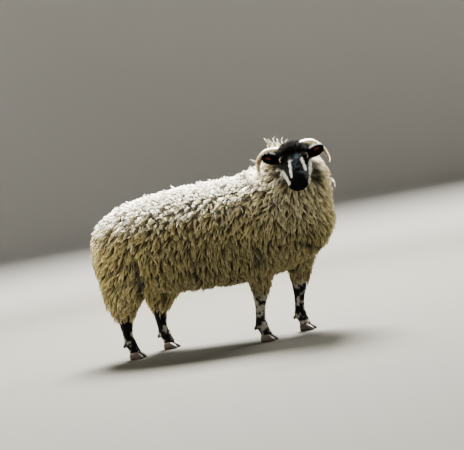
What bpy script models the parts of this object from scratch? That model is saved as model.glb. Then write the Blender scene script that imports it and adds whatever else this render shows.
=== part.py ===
"""A Scottish blackface ewe in full fleece, standing square with her head turned to her right.

Metres, +X towards the chest, +Y to the animal's left, +Z up. The origin is on the floor, at the middle
of the animal's outline. Each solid reaches out to the tips of the wool or hair. The woolly body and the
legs are lofted, blended into one form and parted with thin cuts. The head, ears, horns, eyes and claws
are made on their own and fitted to it.
"""

import math

import bmesh
import bpy
from mathutils import Matrix, Vector

# ---------------------------------------------------------------- driving dimensions
GAP = 0.0003  # clearance kept between touching solids

BACK_HEIGHT = 0.695  # top of the wool over the barrel
BELLY_HEIGHT = 0.240  # lowest wool under the barrel
BARREL_HALF_WIDTH = 0.246
RUMP_X = -0.546
BREAST_X = 0.545

EYE_MIDPOINT = Vector((0.496, -0.190, 0.721))  # between the two eyes
HEAD_TURN = math.radians(-68.0)  # from straight ahead towards her right side
HEAD_DROP = math.radians(50.0)  # the muzzle points this far below the level

EYE_RADIUS = 0.0135
EYE_OFFSET = Vector((0.0045, 0.0460, 0.0115))

FORE_FEET = {"right": (0.187, -0.098), "left": (0.288, 0.098)}
HIND_FEET = {"right": (-0.415, -0.100), "left": (-0.345, 0.100)}
CLAW_HEIGHT = 0.031
CLAW_HALF_WIDTH = 0.0128
CLAW_SPREAD = 0.0136  # each claw's middle from the middle of the foot

BLEND_VOXEL = 0.0075
BLEND_SMOOTHING = 9
BODY_DETAIL = 0.039  # share of the blended form's faces that is kept
HEAD_DETAIL = 0.40
SIDES = {"left": 1.0, "right": -1.0}

# ---------------------------------------------------------------- clean start and materials
for stale in list(bpy.data.objects):
    bpy.data.objects.remove(stale)


def finish_of(name, colour, roughness):
    """A Principled material of one part's colour and roughness."""
    material = bpy.data.materials.new(name)
    material.use_nodes = True
    shader = material.node_tree.nodes["Principled BSDF"]
    shader.inputs["Base Color"].default_value = (*colour, 1.0)
    shader.inputs["Roughness"].default_value = roughness
    return material


WOOL = finish_of("wool", (0.80, 0.74, 0.60), 0.95)
BLACK_HAIR = finish_of("black_hair", (0.025, 0.023, 0.022), 0.75)
LEG_HAIR = finish_of("leg_hair", (0.30, 0.28, 0.25), 0.85)
HORN = finish_of("horn", (0.70, 0.58, 0.40), 0.50)
CLAW_HORN = finish_of("claw_horn", (0.10, 0.08, 0.06), 0.55)
EYE_AMBER = finish_of("eye_amber", (0.55, 0.33, 0.08), 0.08)


# ---------------------------------------------------------------- shape tools
def add_object(name, mesh, material):
    obj = bpy.data.objects.new(name, mesh)
    bpy.context.scene.collection.objects.link(obj)
    mesh.materials.clear()
    mesh.materials.append(material)
    mesh.shade_smooth()
    return obj


def from_bmesh(name, bm, material):
    bmesh.ops.recalc_face_normals(bm, faces=bm.faces[:])
    mesh = bpy.data.meshes.new(name)
    bm.to_mesh(mesh)
    bm.free()
    return add_object(name, mesh, material)


def catmull(before, start, end, after, t):
    """A number on the smooth curve from start to end."""
    bend = 2 * before - 5 * start + 4 * end - after
    twist = 3 * (start - end) + after - before
    return 0.5 * (2 * start + (end - before) * t + bend * t * t + twist * t**3)


def eased(rows, steps):
    """The same stations with smooth ones between them."""
    made = []
    for index in range(len(rows) - 1):
        picked = [rows[min(max(index + shift, 0), len(rows) - 1)] for shift in (-1, 0, 1, 2)]
        for step in range(steps):
            made.append([catmull(*four, step / steps) for four in zip(*picked)])
    made.append(list(rows[-1]))
    return made


def round_section(cosine, sine):
    return cosine, sine


def barrel_section(cosine, sine):
    """A section with a broad back and fuller sides than an ellipse."""
    return (math.copysign(abs(cosine) ** 0.84, cosine), math.copysign(abs(sine) ** 0.90, sine))


def loft(name, rows, material, segments=32, side=Vector((0, 1, 0)), section=round_section):
    """A closed form through stations of x, y, z, half width and half depth."""
    bm = bmesh.new()
    rings = []
    for index, row in enumerate(rows):
        centre = Vector(row[:3])
        behind = Vector(rows[max(index - 1, 0)][:3])
        ahead = Vector(rows[min(index + 1, len(rows) - 1)][:3])
        along = (ahead - behind).normalized()
        across = (side - along * side.dot(along)).normalized()
        up = across.cross(along)
        verts = bmesh.ops.create_circle(bm, segments=segments, radius=1.0)["verts"]
        for vert in verts:
            wide, deep = section(vert.co.x, vert.co.y)
            vert.co = centre + across * (row[3] * wide) + up * (row[4] * deep)
        rings.append(list({edge for vert in verts for edge in vert.link_edges}))
    for first, second in zip(rings, rings[1:]):
        bmesh.ops.bridge_loops(bm, edges=first + second)
    for end in (rings[0], rings[-1]):
        bmesh.ops.contextual_create(bm, geom=end)
    return from_bmesh(name, bm, material)


def ellipsoid(name, centre, radii, material, rings=16):
    bm = bmesh.new()
    place = Matrix.Translation(centre) @ Matrix.Diagonal((*radii, 1.0))
    bmesh.ops.create_uvsphere(bm, u_segments=2 * rings, v_segments=rings, radius=1.0, matrix=place)
    return from_bmesh(name, bm, material)


def block(name, low, high, turn=0.0, pivot=Vector((0, 0, 0))):
    """A box between two corners, turned about an axis along Y through the pivot."""
    bm = bmesh.new()
    size = Vector(high) - Vector(low)
    middle = (Vector(high) + Vector(low)) / 2
    bmesh.ops.create_cube(bm, size=1.0, matrix=Matrix.Translation(middle) @ Matrix.Diagonal((*size, 1.0)))
    spin = Matrix.Rotation(turn, 4, "Y")
    bmesh.ops.transform(bm, matrix=Matrix.Translation(pivot) @ spin, verts=bm.verts)
    return from_bmesh(name, bm, WOOL)


def settled(obj):
    """The object's mesh with its modifiers applied."""
    bpy.context.view_layer.update()
    graph = bpy.context.evaluated_depsgraph_get()
    mesh = bpy.data.meshes.new_from_object(obj.evaluated_get(graph))
    obj.modifiers.clear()
    obj.data = mesh
    return obj


def combined(obj, other, operation):
    """A Boolean of two objects, kept in the first."""
    cut = obj.modifiers.new(operation.lower(), "BOOLEAN")
    cut.operation = operation
    cut.object = other
    cut.solver = "EXACT"
    return settled(obj)


def copy_of(obj, name, grown=0.0):
    """A copy that stands out from the first by the given distance."""
    twin = add_object(name, obj.data.copy(), obj.data.materials[0])
    if grown:
        swell = twin.modifiers.new("swell", "DISPLACE")
        swell.strength = grown
        swell.mid_level = 0.0
        settled(twin)
    return twin


def clear_of(obj, neighbour, gap=GAP):
    """Takes the neighbour's place, and a gap round it, out of the object."""
    cutter = copy_of(neighbour, "cutter", grown=gap)
    combined(obj, cutter, "DIFFERENCE")
    bpy.data.objects.remove(cutter)
    return keep_largest(obj)


def keep_largest(obj):
    """Drops loose scraps, which a cut may leave, and keeps the one large body."""
    bm = bmesh.new()
    bm.from_mesh(obj.data)
    unseen = set(bm.verts)
    islands = []
    while unseen:
        front = [unseen.pop()]
        island = list(front)
        while front:
            vert = front.pop()
            near = [e.other_vert(vert) for e in vert.link_edges if e.other_vert(vert) in unseen]
            unseen.difference_update(near)
            front += near
            island += near
        islands.append(island)
    islands.sort(key=len)
    for island in islands[:-1]:
        bmesh.ops.delete(bm, geom=island, context="VERTS")
    bmesh.ops.triangulate(bm, faces=bm.faces[:])
    bm.to_mesh(obj.data)
    bm.free()
    return obj


def joined(name, objects, material):
    """Several objects' meshes in one."""
    bm = bmesh.new()
    for obj in objects:
        bm.from_mesh(obj.data)
        bpy.data.objects.remove(obj)
    return from_bmesh(name, bm, material)


# ---------------------------------------------------------------- woolly body and legs
def barrel():
    """The trunk, from the rump forward to the breast: x, y, z, half width, half height."""
    top, belly, wide = BACK_HEIGHT, BELLY_HEIGHT, BARREL_HALF_WIDTH
    outline = (  # x, top, bottom, half width
        (RUMP_X, 0.510, 0.440, 0.030),
        (RUMP_X + 0.012, 0.552, 0.396, 0.074),
        (RUMP_X + 0.036, 0.586, 0.356, 0.114),
        (RUMP_X + 0.076, 0.622, 0.318, 0.155),
        (RUMP_X + 0.136, 0.649, 0.290, 0.194),
        (-0.340, top - 0.027, belly + 0.028, wide - 0.018),
        (-0.240, top - 0.014, belly + 0.012, wide - 0.007),
        (-0.130, top - 0.003, belly + 0.003, wide),
        (-0.020, top, belly, wide),
        (0.080, top, belly + 0.003, wide - 0.010),
        (0.170, top + 0.003, belly + 0.010, wide - 0.025),
        (0.260, top + 0.005, belly + 0.020, wide - 0.040),
        (0.340, top - 0.005, belly + 0.040, wide - 0.056),
        (0.420, top - 0.035, belly + 0.068, wide - 0.080),
        (BREAST_X - 0.066, 0.632, 0.352, 0.118),
        (BREAST_X - 0.024, 0.596, 0.400, 0.084),
        (BREAST_X, 0.545, 0.462, 0.042),
    )
    rows = [(x, 0.0, (high + low) / 2, half, (high - low) / 2) for x, high, low, half in outline]
    return loft("barrel", eased(rows, 3), WOOL, segments=40, section=barrel_section)


def neck_wool():
    """The thick wool of the neck, rising from the shoulders to behind the poll."""
    rows = (
        (0.240, 0.000, 0.440, 0.200, 0.190),
        (0.300, 0.000, 0.490, 0.204, 0.222),
        (0.338, -0.004, 0.550, 0.196, 0.226),
        (0.377, -0.012, 0.608, 0.178, 0.206),
        (0.405, -0.022, 0.660, 0.156, 0.170),
        (0.408, -0.034, 0.710, 0.132, 0.142),
        (0.410, -0.046, 0.748, 0.104, 0.104),
        (0.412, -0.054, 0.778, 0.072, 0.070),
        (0.410, -0.058, 0.797, 0.038, 0.036),
    )
    return loft("neck_wool", eased(rows, 3), WOOL, segments=36)


def fore_leg(side):
    """Shoulder to coronet: woolly to the knee, then short hair."""
    x, y = FORE_FEET[side]
    out = SIDES[side]
    rows = (
        (x + 0.070, out * 0.088, 0.470, 0.060, 0.080),
        (x + 0.062, out * 0.102, 0.400, 0.070, 0.092),
        (x + 0.050, out * 0.110, 0.340, 0.066, 0.082),
        (x + 0.041, out * 0.108, 0.290, 0.057, 0.067),
        (x + 0.033, out * 0.102, 0.245, 0.046, 0.053),
        (x + 0.027, out * 0.099, 0.205, 0.035, 0.041),
        (x + 0.022, y, 0.178, 0.0265, 0.0310),
        (x + 0.015, y, 0.150, 0.0205, 0.0235),
        (x + 0.008, y, 0.115, 0.0175, 0.0195),
        (x + 0.004, y, 0.090, 0.0185, 0.0205),
        (x + 0.004, y, 0.070, 0.0225, 0.0245),
        (x + 0.011, y, 0.050, 0.0210, 0.0215),
        (x + 0.016, y, 0.030, 0.0235, 0.0230),
        (x + 0.018, y, 0.005, 0.0245, 0.0240),
    )
    return loft("fore_leg", eased(rows, 3), WOOL, segments=24)


def hind_leg(side):
    """Haunch to coronet: woolly to the hock, then short hair."""
    x, y = HIND_FEET[side]
    out = SIDES[side]
    rows = (
        (x + 0.150, out * 0.100, 0.540, 0.100, 0.130),
        (x + 0.105, out * 0.110, 0.470, 0.108, 0.163),
        (x + 0.070, out * 0.118, 0.400, 0.107, 0.165),
        (x + 0.045, out * 0.122, 0.340, 0.096, 0.141),
        (x + 0.020, out * 0.125, 0.285, 0.081, 0.111),
        (x + 0.005, out * 0.117, 0.240, 0.066, 0.086),
        (x + 0.000, out * 0.110, 0.200, 0.050, 0.064),
        (x - 0.003, out * 0.104, 0.168, 0.037, 0.046),
        (x - 0.005, y, 0.140, 0.0245, 0.0300),
        (x - 0.006, y, 0.112, 0.0190, 0.0220),
        (x - 0.005, y, 0.090, 0.0190, 0.0215),
        (x + 0.000, y, 0.070, 0.0225, 0.0245),
        (x + 0.007, y, 0.050, 0.0210, 0.0215),
        (x + 0.013, y, 0.030, 0.0235, 0.0230),
        (x + 0.015, y, 0.005, 0.0245, 0.0240),
    )
    return loft("hind_leg", eased(rows, 3), WOOL, segments=24)


def hanging_tail():
    """The woolly tail, hanging against the rump."""
    x = RUMP_X
    rows = (
        (x + 0.082, 0.0, 0.600, 0.020, 0.016),
        (x + 0.054, 0.0, 0.580, 0.042, 0.027),
        (x + 0.025, 0.0, 0.540, 0.050, 0.030),
        (x + 0.008, 0.0, 0.480, 0.050, 0.029),
        (x + 0.004, 0.0, 0.415, 0.046, 0.028),
        (x + 0.010, 0.0, 0.350, 0.036, 0.025),
        (x + 0.018, 0.0, 0.312, 0.016, 0.012),
    )
    return loft("tail_wool", eased(rows, 2), WOOL, segments=16)


def blended_body():
    """Barrel, neck and legs as one smooth closed form."""
    legs = [make(side) for make in (fore_leg, hind_leg) for side in SIDES]
    body = joined("body", [barrel(), neck_wool(), *legs], WOOL)
    remesh = body.modifiers.new("blend", "REMESH")
    remesh.mode = "VOXEL"
    remesh.voxel_size = BLEND_VOXEL
    smooth = body.modifiers.new("soften", "SMOOTH")
    smooth.factor = 0.5
    smooth.iterations = BLEND_SMOOTHING
    fewer = body.modifiers.new("fewer", "DECIMATE")
    fewer.ratio = BODY_DETAIL
    settled(body)
    flatten_ankles(body)
    return keep_largest(body)


def flatten_ankles(body):
    """Ends every leg on a flat coronet, just above the claws."""
    bm = bmesh.new()
    bm.from_mesh(body.data)
    cut = bmesh.ops.bisect_plane(
        bm,
        geom=bm.verts[:] + bm.edges[:] + bm.faces[:],
        plane_co=(0, 0, CLAW_HEIGHT + GAP),
        plane_no=(0, 0, -1),
        clear_outer=True,
    )
    rims = [item for item in cut["geom_cut"] if isinstance(item, bmesh.types.BMEdge)]
    bmesh.ops.holes_fill(bm, edges=rims)
    bmesh.ops.triangulate(bm, faces=bm.faces[:])
    bm.to_mesh(body.data)
    bm.free()


def carve(body, name, low, high, turn=0.0, pivot=Vector((0, 0, 0)), material=WOOL):
    """Parts off what lies in a turned box, and leaves a thin cut round it."""
    region = block("region", low, high, turn, pivot)
    piece = copy_of(body, name)
    piece.data.materials[0] = material
    combined(piece, region, "INTERSECT")
    bpy.data.objects.remove(region)
    margin = Vector((GAP, GAP, GAP))
    around = block("around", Vector(low) - margin, Vector(high) + margin, turn, pivot)
    combined(body, around, "DIFFERENCE")
    bpy.data.objects.remove(around)
    keep_largest(body)
    return keep_largest(piece)


def part_body(body):
    """Cuts the blended form into trunk, neck and four legs."""
    for side, out in SIDES.items():
        x = FORE_FEET[side][0]
        inner, outer = sorted((out * 0.045, out * 0.180))
        carve(
            body,
            f"leg_front_{side}",
            low=(-0.085, inner, -0.400),
            high=(0.085, outer, 0.000),
            turn=math.radians(-4.0),
            pivot=Vector((x + 0.044, 0.0, 0.292)),
            material=LEG_HAIR,
        )
        x = HIND_FEET[side][0]
        inner, outer = sorted((out * GAP, out * 0.320))
        carve(
            body,
            f"leg_hind_{side}",
            low=(-0.250, inner, -0.560),
            high=(0.230, outer, 0.000),
            turn=math.radians(20.0),
            pivot=Vector((x + 0.040, 0.0, 0.385)),
            material=LEG_HAIR,
        )
    neck = carve(
        body,
        "neck",
        low=(-0.400, -0.400, 0.000),
        high=(0.400, 0.400, 0.500),
        turn=math.radians(46.0),
        pivot=Vector((0.345, 0.0, 0.570)),
    )
    body.name = "trunk"
    return neck


# ---------------------------------------------------------------- head
def head_matrix():
    """From the head's own axes (x to the muzzle, z to the crown) to the floor's."""
    turn = Matrix.Rotation(HEAD_TURN, 4, "Z")
    drop = Matrix.Rotation(HEAD_DROP, 4, "Y")
    return Matrix.Translation(EYE_MIDPOINT) @ turn @ drop


HEAD = head_matrix()
HEAD_LEVEL = Matrix.Translation(EYE_MIDPOINT) @ Matrix.Rotation(HEAD_TURN, 4, "Z")


def head_solid():
    """Skull, face and jaw: sections from the nape to the tip of the nose."""
    outline = (  # x, top, bottom, half width, how much narrower the underside is
        (-0.104, -0.0240, -0.050, 0.0200, 0.10),
        (-0.092, -0.0040, -0.068, 0.0420, 0.10),
        (-0.068, 0.0210, -0.083, 0.0590, 0.12),
        (-0.040, 0.0340, -0.090, 0.0665, 0.14),
        (-0.012, 0.0375, -0.088, 0.0680, 0.14),
        (0.014, 0.0360, -0.081, 0.0660, 0.12),
        (0.039, 0.0325, -0.071, 0.0605, 0.10),
        (0.062, 0.0295, -0.062, 0.0535, 0.10),
        (0.083, 0.0260, -0.055, 0.0475, 0.10),
        (0.104, 0.0210, -0.051, 0.0430, 0.12),
        (0.122, 0.0110, -0.049, 0.0395, 0.14),
        (0.135, -0.0020, -0.046, 0.0330, 0.14),
        (0.1425, -0.0140, -0.041, 0.0225, 0.14),
        (0.1445, -0.0220, -0.035, 0.0100, 0.10),
    )
    bm = bmesh.new()
    rings = []
    for x, top, bottom, half, narrowing in eased(outline, 2):
        verts = bmesh.ops.create_circle(bm, segments=22, radius=1.0)["verts"]
        for vert in verts:
            cosine, sine = vert.co.x, vert.co.y
            width = half * (1 - narrowing * (0.5 - 0.5 * sine))
            y = width * math.copysign(abs(cosine) ** 0.86, cosine)
            vert.co = Vector((x, y, (top + bottom) / 2 + sine * (top - bottom) / 2))
        rings.append(list({edge for vert in verts for edge in vert.link_edges}))
    for first, second in zip(rings, rings[1:]):
        bmesh.ops.bridge_loops(bm, edges=first + second)
    for end in (rings[0], rings[-1]):
        bmesh.ops.contextual_create(bm, geom=end)
    head = from_bmesh("head", bm, BLACK_HAIR)
    for out in SIDES.values():
        brow = ellipsoid("brow", (-0.002, out * 0.0440, 0.0095), (0.024, 0.0160, 0.0155), BLACK_HAIR, rings=7)
        cheek = ellipsoid("cheek", (-0.010, out * 0.0420, -0.042), (0.060, 0.0235, 0.036), BLACK_HAIR, rings=7)
        for lump in (brow, cheek):
            combined(head, lump, "UNION")
            bpy.data.objects.remove(lump)
    fewer = head.modifiers.new("fewer", "DECIMATE")
    fewer.ratio = HEAD_DETAIL
    settled(head)
    head.data.transform(HEAD)
    return head


def eye_centre(out):
    return HEAD @ Vector((EYE_OFFSET.x, out * EYE_OFFSET.y, EYE_OFFSET.z))


def eyes(head):
    for side, out in SIDES.items():
        radii = (EYE_RADIUS,) * 3
        eye = ellipsoid(f"eye_{side}", eye_centre(out), radii, EYE_AMBER, rings=8)
        clear_of(head, eye)


def ears(head):
    """Leaf-shaped, cupped ears, held out to the sides below the horns."""
    length = 0.092
    for side, out in SIDES.items():
        outline = (  # share of the length, half width, half thickness
            (0.00, 0.0120, 0.0070),
            (0.15, 0.0160, 0.0060),
            (0.38, 0.0205, 0.0046),
            (0.62, 0.0195, 0.0038),
            (0.84, 0.0125, 0.0032),
            (0.96, 0.0060, 0.0026),
            (1.00, 0.0020, 0.0012),
        )
        rows = [(share * length, 0.0, 0.0, half, thick) for share, half, thick in eased(outline, 2)]
        ear = loft(f"ear_{side}", rows, BLACK_HAIR, segments=12)
        for vert in ear.data.vertices:
            share = vert.co.x / length
            vert.co.z += 9.0 * vert.co.y**2 - 0.010 * share**2
        place = Matrix.Translation(HEAD_LEVEL @ Vector((-0.044, out * 0.054, 0.004)))
        turn = Matrix.Rotation(HEAD_TURN + out * math.radians(58.0), 4, "Z")
        tilt = Matrix.Rotation(math.radians(-20.0), 4, "Y")
        cup = Matrix.Rotation(-out * math.radians(68.0), 4, "X")
        ear.data.transform(place @ turn @ tilt @ cup)
        clear_of(ear, head)


def horns(head):
    """Horns that leave the crown sideways and curl back, down and a little forward."""
    routes = {  # forward, outward, up from the eyes on the level, radius
        "left": (
            (-0.034, 0.020, 0.040, 0.0178),
            (-0.048, 0.043, 0.053, 0.0184),
            (-0.074, 0.080, 0.053, 0.0165),
            (-0.100, 0.112, 0.033, 0.0136),
            (-0.106, 0.134, 0.002, 0.0100),
            (-0.088, 0.143, -0.026, 0.0064),
            (-0.066, 0.140, -0.040, 0.0022),
        ),
        "right": (
            (-0.034, 0.022, 0.036, 0.0178),
            (-0.048, 0.052, 0.043, 0.0184),
            (-0.074, 0.096, 0.045, 0.0165),
            (-0.100, 0.130, 0.027, 0.0136),
            (-0.104, 0.146, -0.006, 0.0104),
            (-0.084, 0.143, -0.034, 0.0070),
            (-0.056, 0.124, -0.042, 0.0040),
            (-0.036, 0.108, -0.034, 0.0018),
        ),
    }
    for side, out in SIDES.items():
        rows = []
        for ahead, outward, up, radius in eased(routes[side], 3):
            centre = HEAD_LEVEL @ Vector((ahead, out * outward, up))
            rows.append((*centre, radius, radius * 0.86))
        horn = loft(f"horn_{side}", rows, HORN, segments=10, side=HEAD_LEVEL.to_3x3() @ Vector((1, 0, 0.3)))
        clear_of(horn, head)
        clear_of(bpy.data.objects[f"ear_{side}"], horn)


# ---------------------------------------------------------------- claws
def claw(name, x, y, out):
    """One half of a cloven hoof: flat under, with a sloping wall that comes to a blunt point."""
    rows = (  # forward, half width, height
        (-0.019, 0.66, 0.78),
        (-0.012, 0.96, 1.00),
        (0.014, 1.00, 1.00),
        (0.028, 0.86, 0.70),
        (0.041, 0.46, 0.34),
    )
    bm = bmesh.new()
    sections = []
    for ahead, width, height in rows:
        half = CLAW_HALF_WIDTH * width
        tall = CLAW_HEIGHT * height
        inset = half * 0.80
        corners = ((-half, 0.0), (half, 0.0), (inset, tall * 0.86), (inset * 0.5, tall), (-inset * 0.5, tall))
        corners = (*corners, (-inset, tall * 0.86))
        sections.append([bm.verts.new((x + ahead, y + across, up)) for across, up in corners])
    for near, far in zip(sections, sections[1:]):
        for index in range(len(near)):
            after = (index + 1) % len(near)
            bm.faces.new((near[index], near[after], far[after], far[index]))
    bm.faces.new(sections[0])
    bm.faces.new(sections[-1])
    bmesh.ops.rotate(
        bm,
        verts=bm.verts,
        cent=(x - 0.010, y, 0.0),
        matrix=Matrix.Rotation(out * math.radians(5.0), 3, "Z"),
    )
    bmesh.ops.triangulate(bm, faces=bm.faces[:])
    return from_bmesh(name, bm, CLAW_HORN)


def dew_claw(name, x, y, out, leg):
    """A small claw behind the fetlock."""
    bm = bmesh.new()
    bmesh.ops.create_cone(bm, cap_ends=True, segments=6, radius1=0.0075, radius2=0.0035, depth=0.020)
    tip = Matrix.Rotation(math.radians(28.0), 4, "Y") @ Matrix.Rotation(math.pi, 4, "X")
    bmesh.ops.transform(bm, matrix=Matrix.Translation((x, y, 0.062)) @ tip, verts=bm.verts)
    bmesh.ops.triangulate(bm, faces=bm.faces[:])
    return clear_of(from_bmesh(name, bm, CLAW_HORN), leg)


def feet():
    shifts = {"front": (FORE_FEET, 0.016, -0.021), "hind": (HIND_FEET, 0.013, -0.025)}
    for end, (spots, ahead, heel) in shifts.items():
        for side, (x, y) in spots.items():
            leg = bpy.data.objects[f"leg_{end}_{side}"]
            for half, out in (("inner", -SIDES[side]), ("outer", SIDES[side])):
                claw(f"claw_{end}_{side}_{half}", x + ahead, y + out * CLAW_SPREAD, out)
                dew_claw(f"dewclaw_{end}_{side}_{half}", x + heel, y + out * 0.0125, out, leg)


# ---------------------------------------------------------------- assembly
def centre_on_origin():
    """Moves every solid so that the outline's middle, on the floor, is the origin."""
    corners = [vert.co for obj in bpy.data.objects for vert in obj.data.vertices]
    low = Vector(min(co[axis] for co in corners) for axis in range(3))
    high = Vector(max(co[axis] for co in corners) for axis in range(3))
    shift = Vector((-(low.x + high.x) / 2, -(low.y + high.y) / 2, -low.z))
    for obj in bpy.data.objects:
        obj.data.transform(Matrix.Translation(shift))
    print("moved by", tuple(round(value, 5) for value in shift))


def main():
    body = blended_body()
    tail = clear_of(hanging_tail(), body)
    tail.name = "tail"
    neck = part_body(body)
    head = head_solid()
    eyes(head)
    ears(head)
    horns(head)
    for solid in ("head", "horn_left", "horn_right", "ear_left", "ear_right"):
        clear_of(neck, bpy.data.objects[solid])
    feet()
    centre_on_origin()


main()
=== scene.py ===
# %% [markdown]
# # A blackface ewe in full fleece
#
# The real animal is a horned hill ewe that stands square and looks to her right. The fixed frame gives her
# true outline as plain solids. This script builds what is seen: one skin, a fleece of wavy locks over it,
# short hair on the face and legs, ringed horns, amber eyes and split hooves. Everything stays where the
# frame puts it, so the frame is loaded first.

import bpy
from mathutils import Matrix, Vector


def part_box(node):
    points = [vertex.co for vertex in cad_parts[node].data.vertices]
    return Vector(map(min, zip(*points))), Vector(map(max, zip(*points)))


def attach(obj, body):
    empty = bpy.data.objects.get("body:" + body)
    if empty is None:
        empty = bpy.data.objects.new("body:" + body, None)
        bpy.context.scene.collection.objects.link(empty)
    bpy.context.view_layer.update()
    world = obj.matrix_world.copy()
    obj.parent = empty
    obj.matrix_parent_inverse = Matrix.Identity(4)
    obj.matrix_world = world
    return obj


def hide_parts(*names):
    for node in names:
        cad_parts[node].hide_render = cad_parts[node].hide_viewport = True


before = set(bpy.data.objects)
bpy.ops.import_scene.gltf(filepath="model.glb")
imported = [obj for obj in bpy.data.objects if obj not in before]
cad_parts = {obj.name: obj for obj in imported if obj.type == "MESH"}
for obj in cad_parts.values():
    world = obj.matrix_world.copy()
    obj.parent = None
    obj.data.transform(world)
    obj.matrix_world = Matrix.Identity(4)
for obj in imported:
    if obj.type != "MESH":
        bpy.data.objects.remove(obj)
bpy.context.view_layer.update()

# %% [markdown]
# ## Tools
#
# Shapes come from bmesh operators, long lists of numbers from numpy, and distances to a surface from a
# BVH tree. A few short helpers are used by many steps, so they come first: some for objects and their
# meshes, some for numbers, and some for forms that are drawn through stations along a line.

# %% Objects and meshes
import math

import bmesh
import bpy
import numpy as np
from mathutils import Matrix, Vector
from mathutils.bvhtree import BVHTree
from mathutils.kdtree import KDTree

SIDES = {"left": 1.0, "right": -1.0}  # her left is +1 along the head's second axis


def add_object(name, mesh, material=None):
    """Links a mesh as an object, with its one material if that is given."""
    obj = bpy.data.objects.new(name, mesh)
    bpy.context.scene.collection.objects.link(obj)
    if material:
        mesh.materials.clear()
        mesh.materials.append(material)
    return obj


def from_bmesh(name, bm, material=None):
    """Turns a finished bmesh into a smooth object whose faces point outwards."""
    bmesh.ops.recalc_face_normals(bm, faces=bm.faces[:])
    mesh = bpy.data.meshes.new(name)
    bm.to_mesh(mesh)
    bm.free()
    mesh.shade_smooth()
    return add_object(name, mesh, material)


def settled(obj):
    """Applies the object's modifiers to its mesh."""
    bpy.context.view_layer.update()
    graph = bpy.context.evaluated_depsgraph_get()
    mesh = bpy.data.meshes.new_from_object(obj.evaluated_get(graph))
    obj.modifiers.clear()
    obj.data = mesh
    return obj


def points_of(mesh, kind="co"):
    """The corners of a mesh as an array, or their normals."""
    values = np.empty(len(mesh.vertices) * 3, np.float32)
    if kind == "co":
        mesh.vertices.foreach_get("co", values)
    else:
        mesh.vertex_normals.foreach_get("vector", values)
    return values.reshape(-1, 3).astype(float)


def move_points(mesh, points):
    mesh.vertices.foreach_set("co", np.ascontiguousarray(points, np.float32).ravel())
    mesh.update()


def tree_of(obj):
    """Looks up the nearest place on an object's surface."""
    return BVHTree.FromObject(obj, bpy.context.evaluated_depsgraph_get())


print("mesh helpers ready")


# %% Numbers
def smoothstep(low, high, value):
    """0 at low, 1 at high, and an easy slope between. Low may be the larger of the two."""
    t = np.clip((value - low) / (high - low), 0.0, 1.0)
    return t * t * (3.0 - 2.0 * t)


def mix(first, second, share):
    return first + (second - first) * share


def unit(vectors):
    return vectors / np.maximum(np.linalg.norm(vectors, axis=-1, keepdims=True), 1e-9)


def moved(matrix, points):
    """The points of an array taken through a matrix."""
    matrix = np.array(matrix)
    return points @ matrix[:3, :3].T + matrix[:3, 3]


print("halfway up the slope", smoothstep(0.0, 1.0, 0.5))


# %% Forms through stations
def catmull(rows, steps):
    """Stations with smooth ones between them."""
    rows = np.array(rows, float)
    padded = np.vstack([rows[:1], rows, rows[-1:]])
    made = []
    for index in range(len(rows) - 1):
        before, start, end, after = padded[index : index + 4]
        for step in range(steps):
            t = step / steps
            bend = 2 * before - 5 * start + 4 * end - after
            twist = 3 * (start - end) + after - before
            made.append(0.5 * (2 * start + (end - before) * t + bend * t * t + twist * t**3))
    made.append(rows[-1])
    return np.array(made)


def ring_of(bm, segments, place):
    """The edges of a ring whose corners go where place(cosine, sine) says."""
    verts = bmesh.ops.create_circle(bm, segments=segments, radius=1.0)["verts"]
    for vert in verts:
        vert.co = place(vert.co.x, vert.co.y)
    return list(dict.fromkeys(edge for vert in verts for edge in vert.link_edges))


def bridged(bm, rings, poked=False):
    """Spans the rings and closes both ends, each with a middle corner if it is poked."""
    for first, second in zip(rings, rings[1:]):
        bmesh.ops.bridge_loops(bm, edges=first + second)
    for end in (rings[0], rings[-1]):
        cap = bmesh.ops.contextual_create(bm, geom=end)["faces"]
        if poked:
            bmesh.ops.poke(bm, faces=cap)
    return bm


def loft(rows, segments, section, side=Vector((0, 1, 0))):
    """A closed bmesh through stations of x, y, z, half width and half depth."""
    bm = bmesh.new()
    rings = []
    for index, row in enumerate(rows):
        behind = Vector(rows[max(index - 1, 0)][:3])
        ahead = Vector(rows[min(index + 1, len(rows) - 1)][:3])
        along = (ahead - behind).normalized()
        across = (side - along * side.dot(along)).normalized()
        up = across.cross(along)

        def place(cosine, sine):
            wide, deep = section(cosine, sine, index)
            return Vector(row[:3]) + across * (row[3] * wide) + up * (row[4] * deep)

        rings.append(ring_of(bm, segments, place))
    return bridged(bm, rings)


print("forms ready")

# %% [markdown]
# ## Camera
#
# She is seen from a little in front of her right side, from just above the height of her back, with the
# camera tilted clockwise as on a slope. A long lens far away keeps her proportions true. The aim point
# below is what falls in the middle of the picture.

# %% Camera
AIM = Vector((0.0776, 0.0145, 0.4904))
AZIMUTH = math.radians(23.0)
ELEVATION = math.radians(3.0)
ROLL = math.radians(10.5)
DISTANCE = 8.0
VIEW_WIDTH = 1.9333333  # metres that the picture shows across, at the aim point
SENSOR = 36.0

camera_data = bpy.data.cameras.new("camera")
camera_data.sensor_width = SENSOR
camera_data.lens = SENSOR * DISTANCE / VIEW_WIDTH
camera = bpy.data.objects.new("camera", camera_data)
bpy.context.scene.collection.objects.link(camera)
towards_camera = Vector(
    (
        math.sin(AZIMUTH) * math.cos(ELEVATION),
        -math.cos(AZIMUTH) * math.cos(ELEVATION),
        math.sin(ELEVATION),
    )
)
facing = towards_camera.to_track_quat("Z", "Y").to_matrix().to_4x4() @ Matrix.Rotation(-ROLL, 4, "Z")
camera.matrix_world = Matrix.Translation(AIM + towards_camera * DISTANCE) @ facing
bpy.context.scene.camera = camera
print("camera", [round(v, 2) for v in camera.matrix_world.translation], "lens", round(camera_data.lens, 1))

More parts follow.
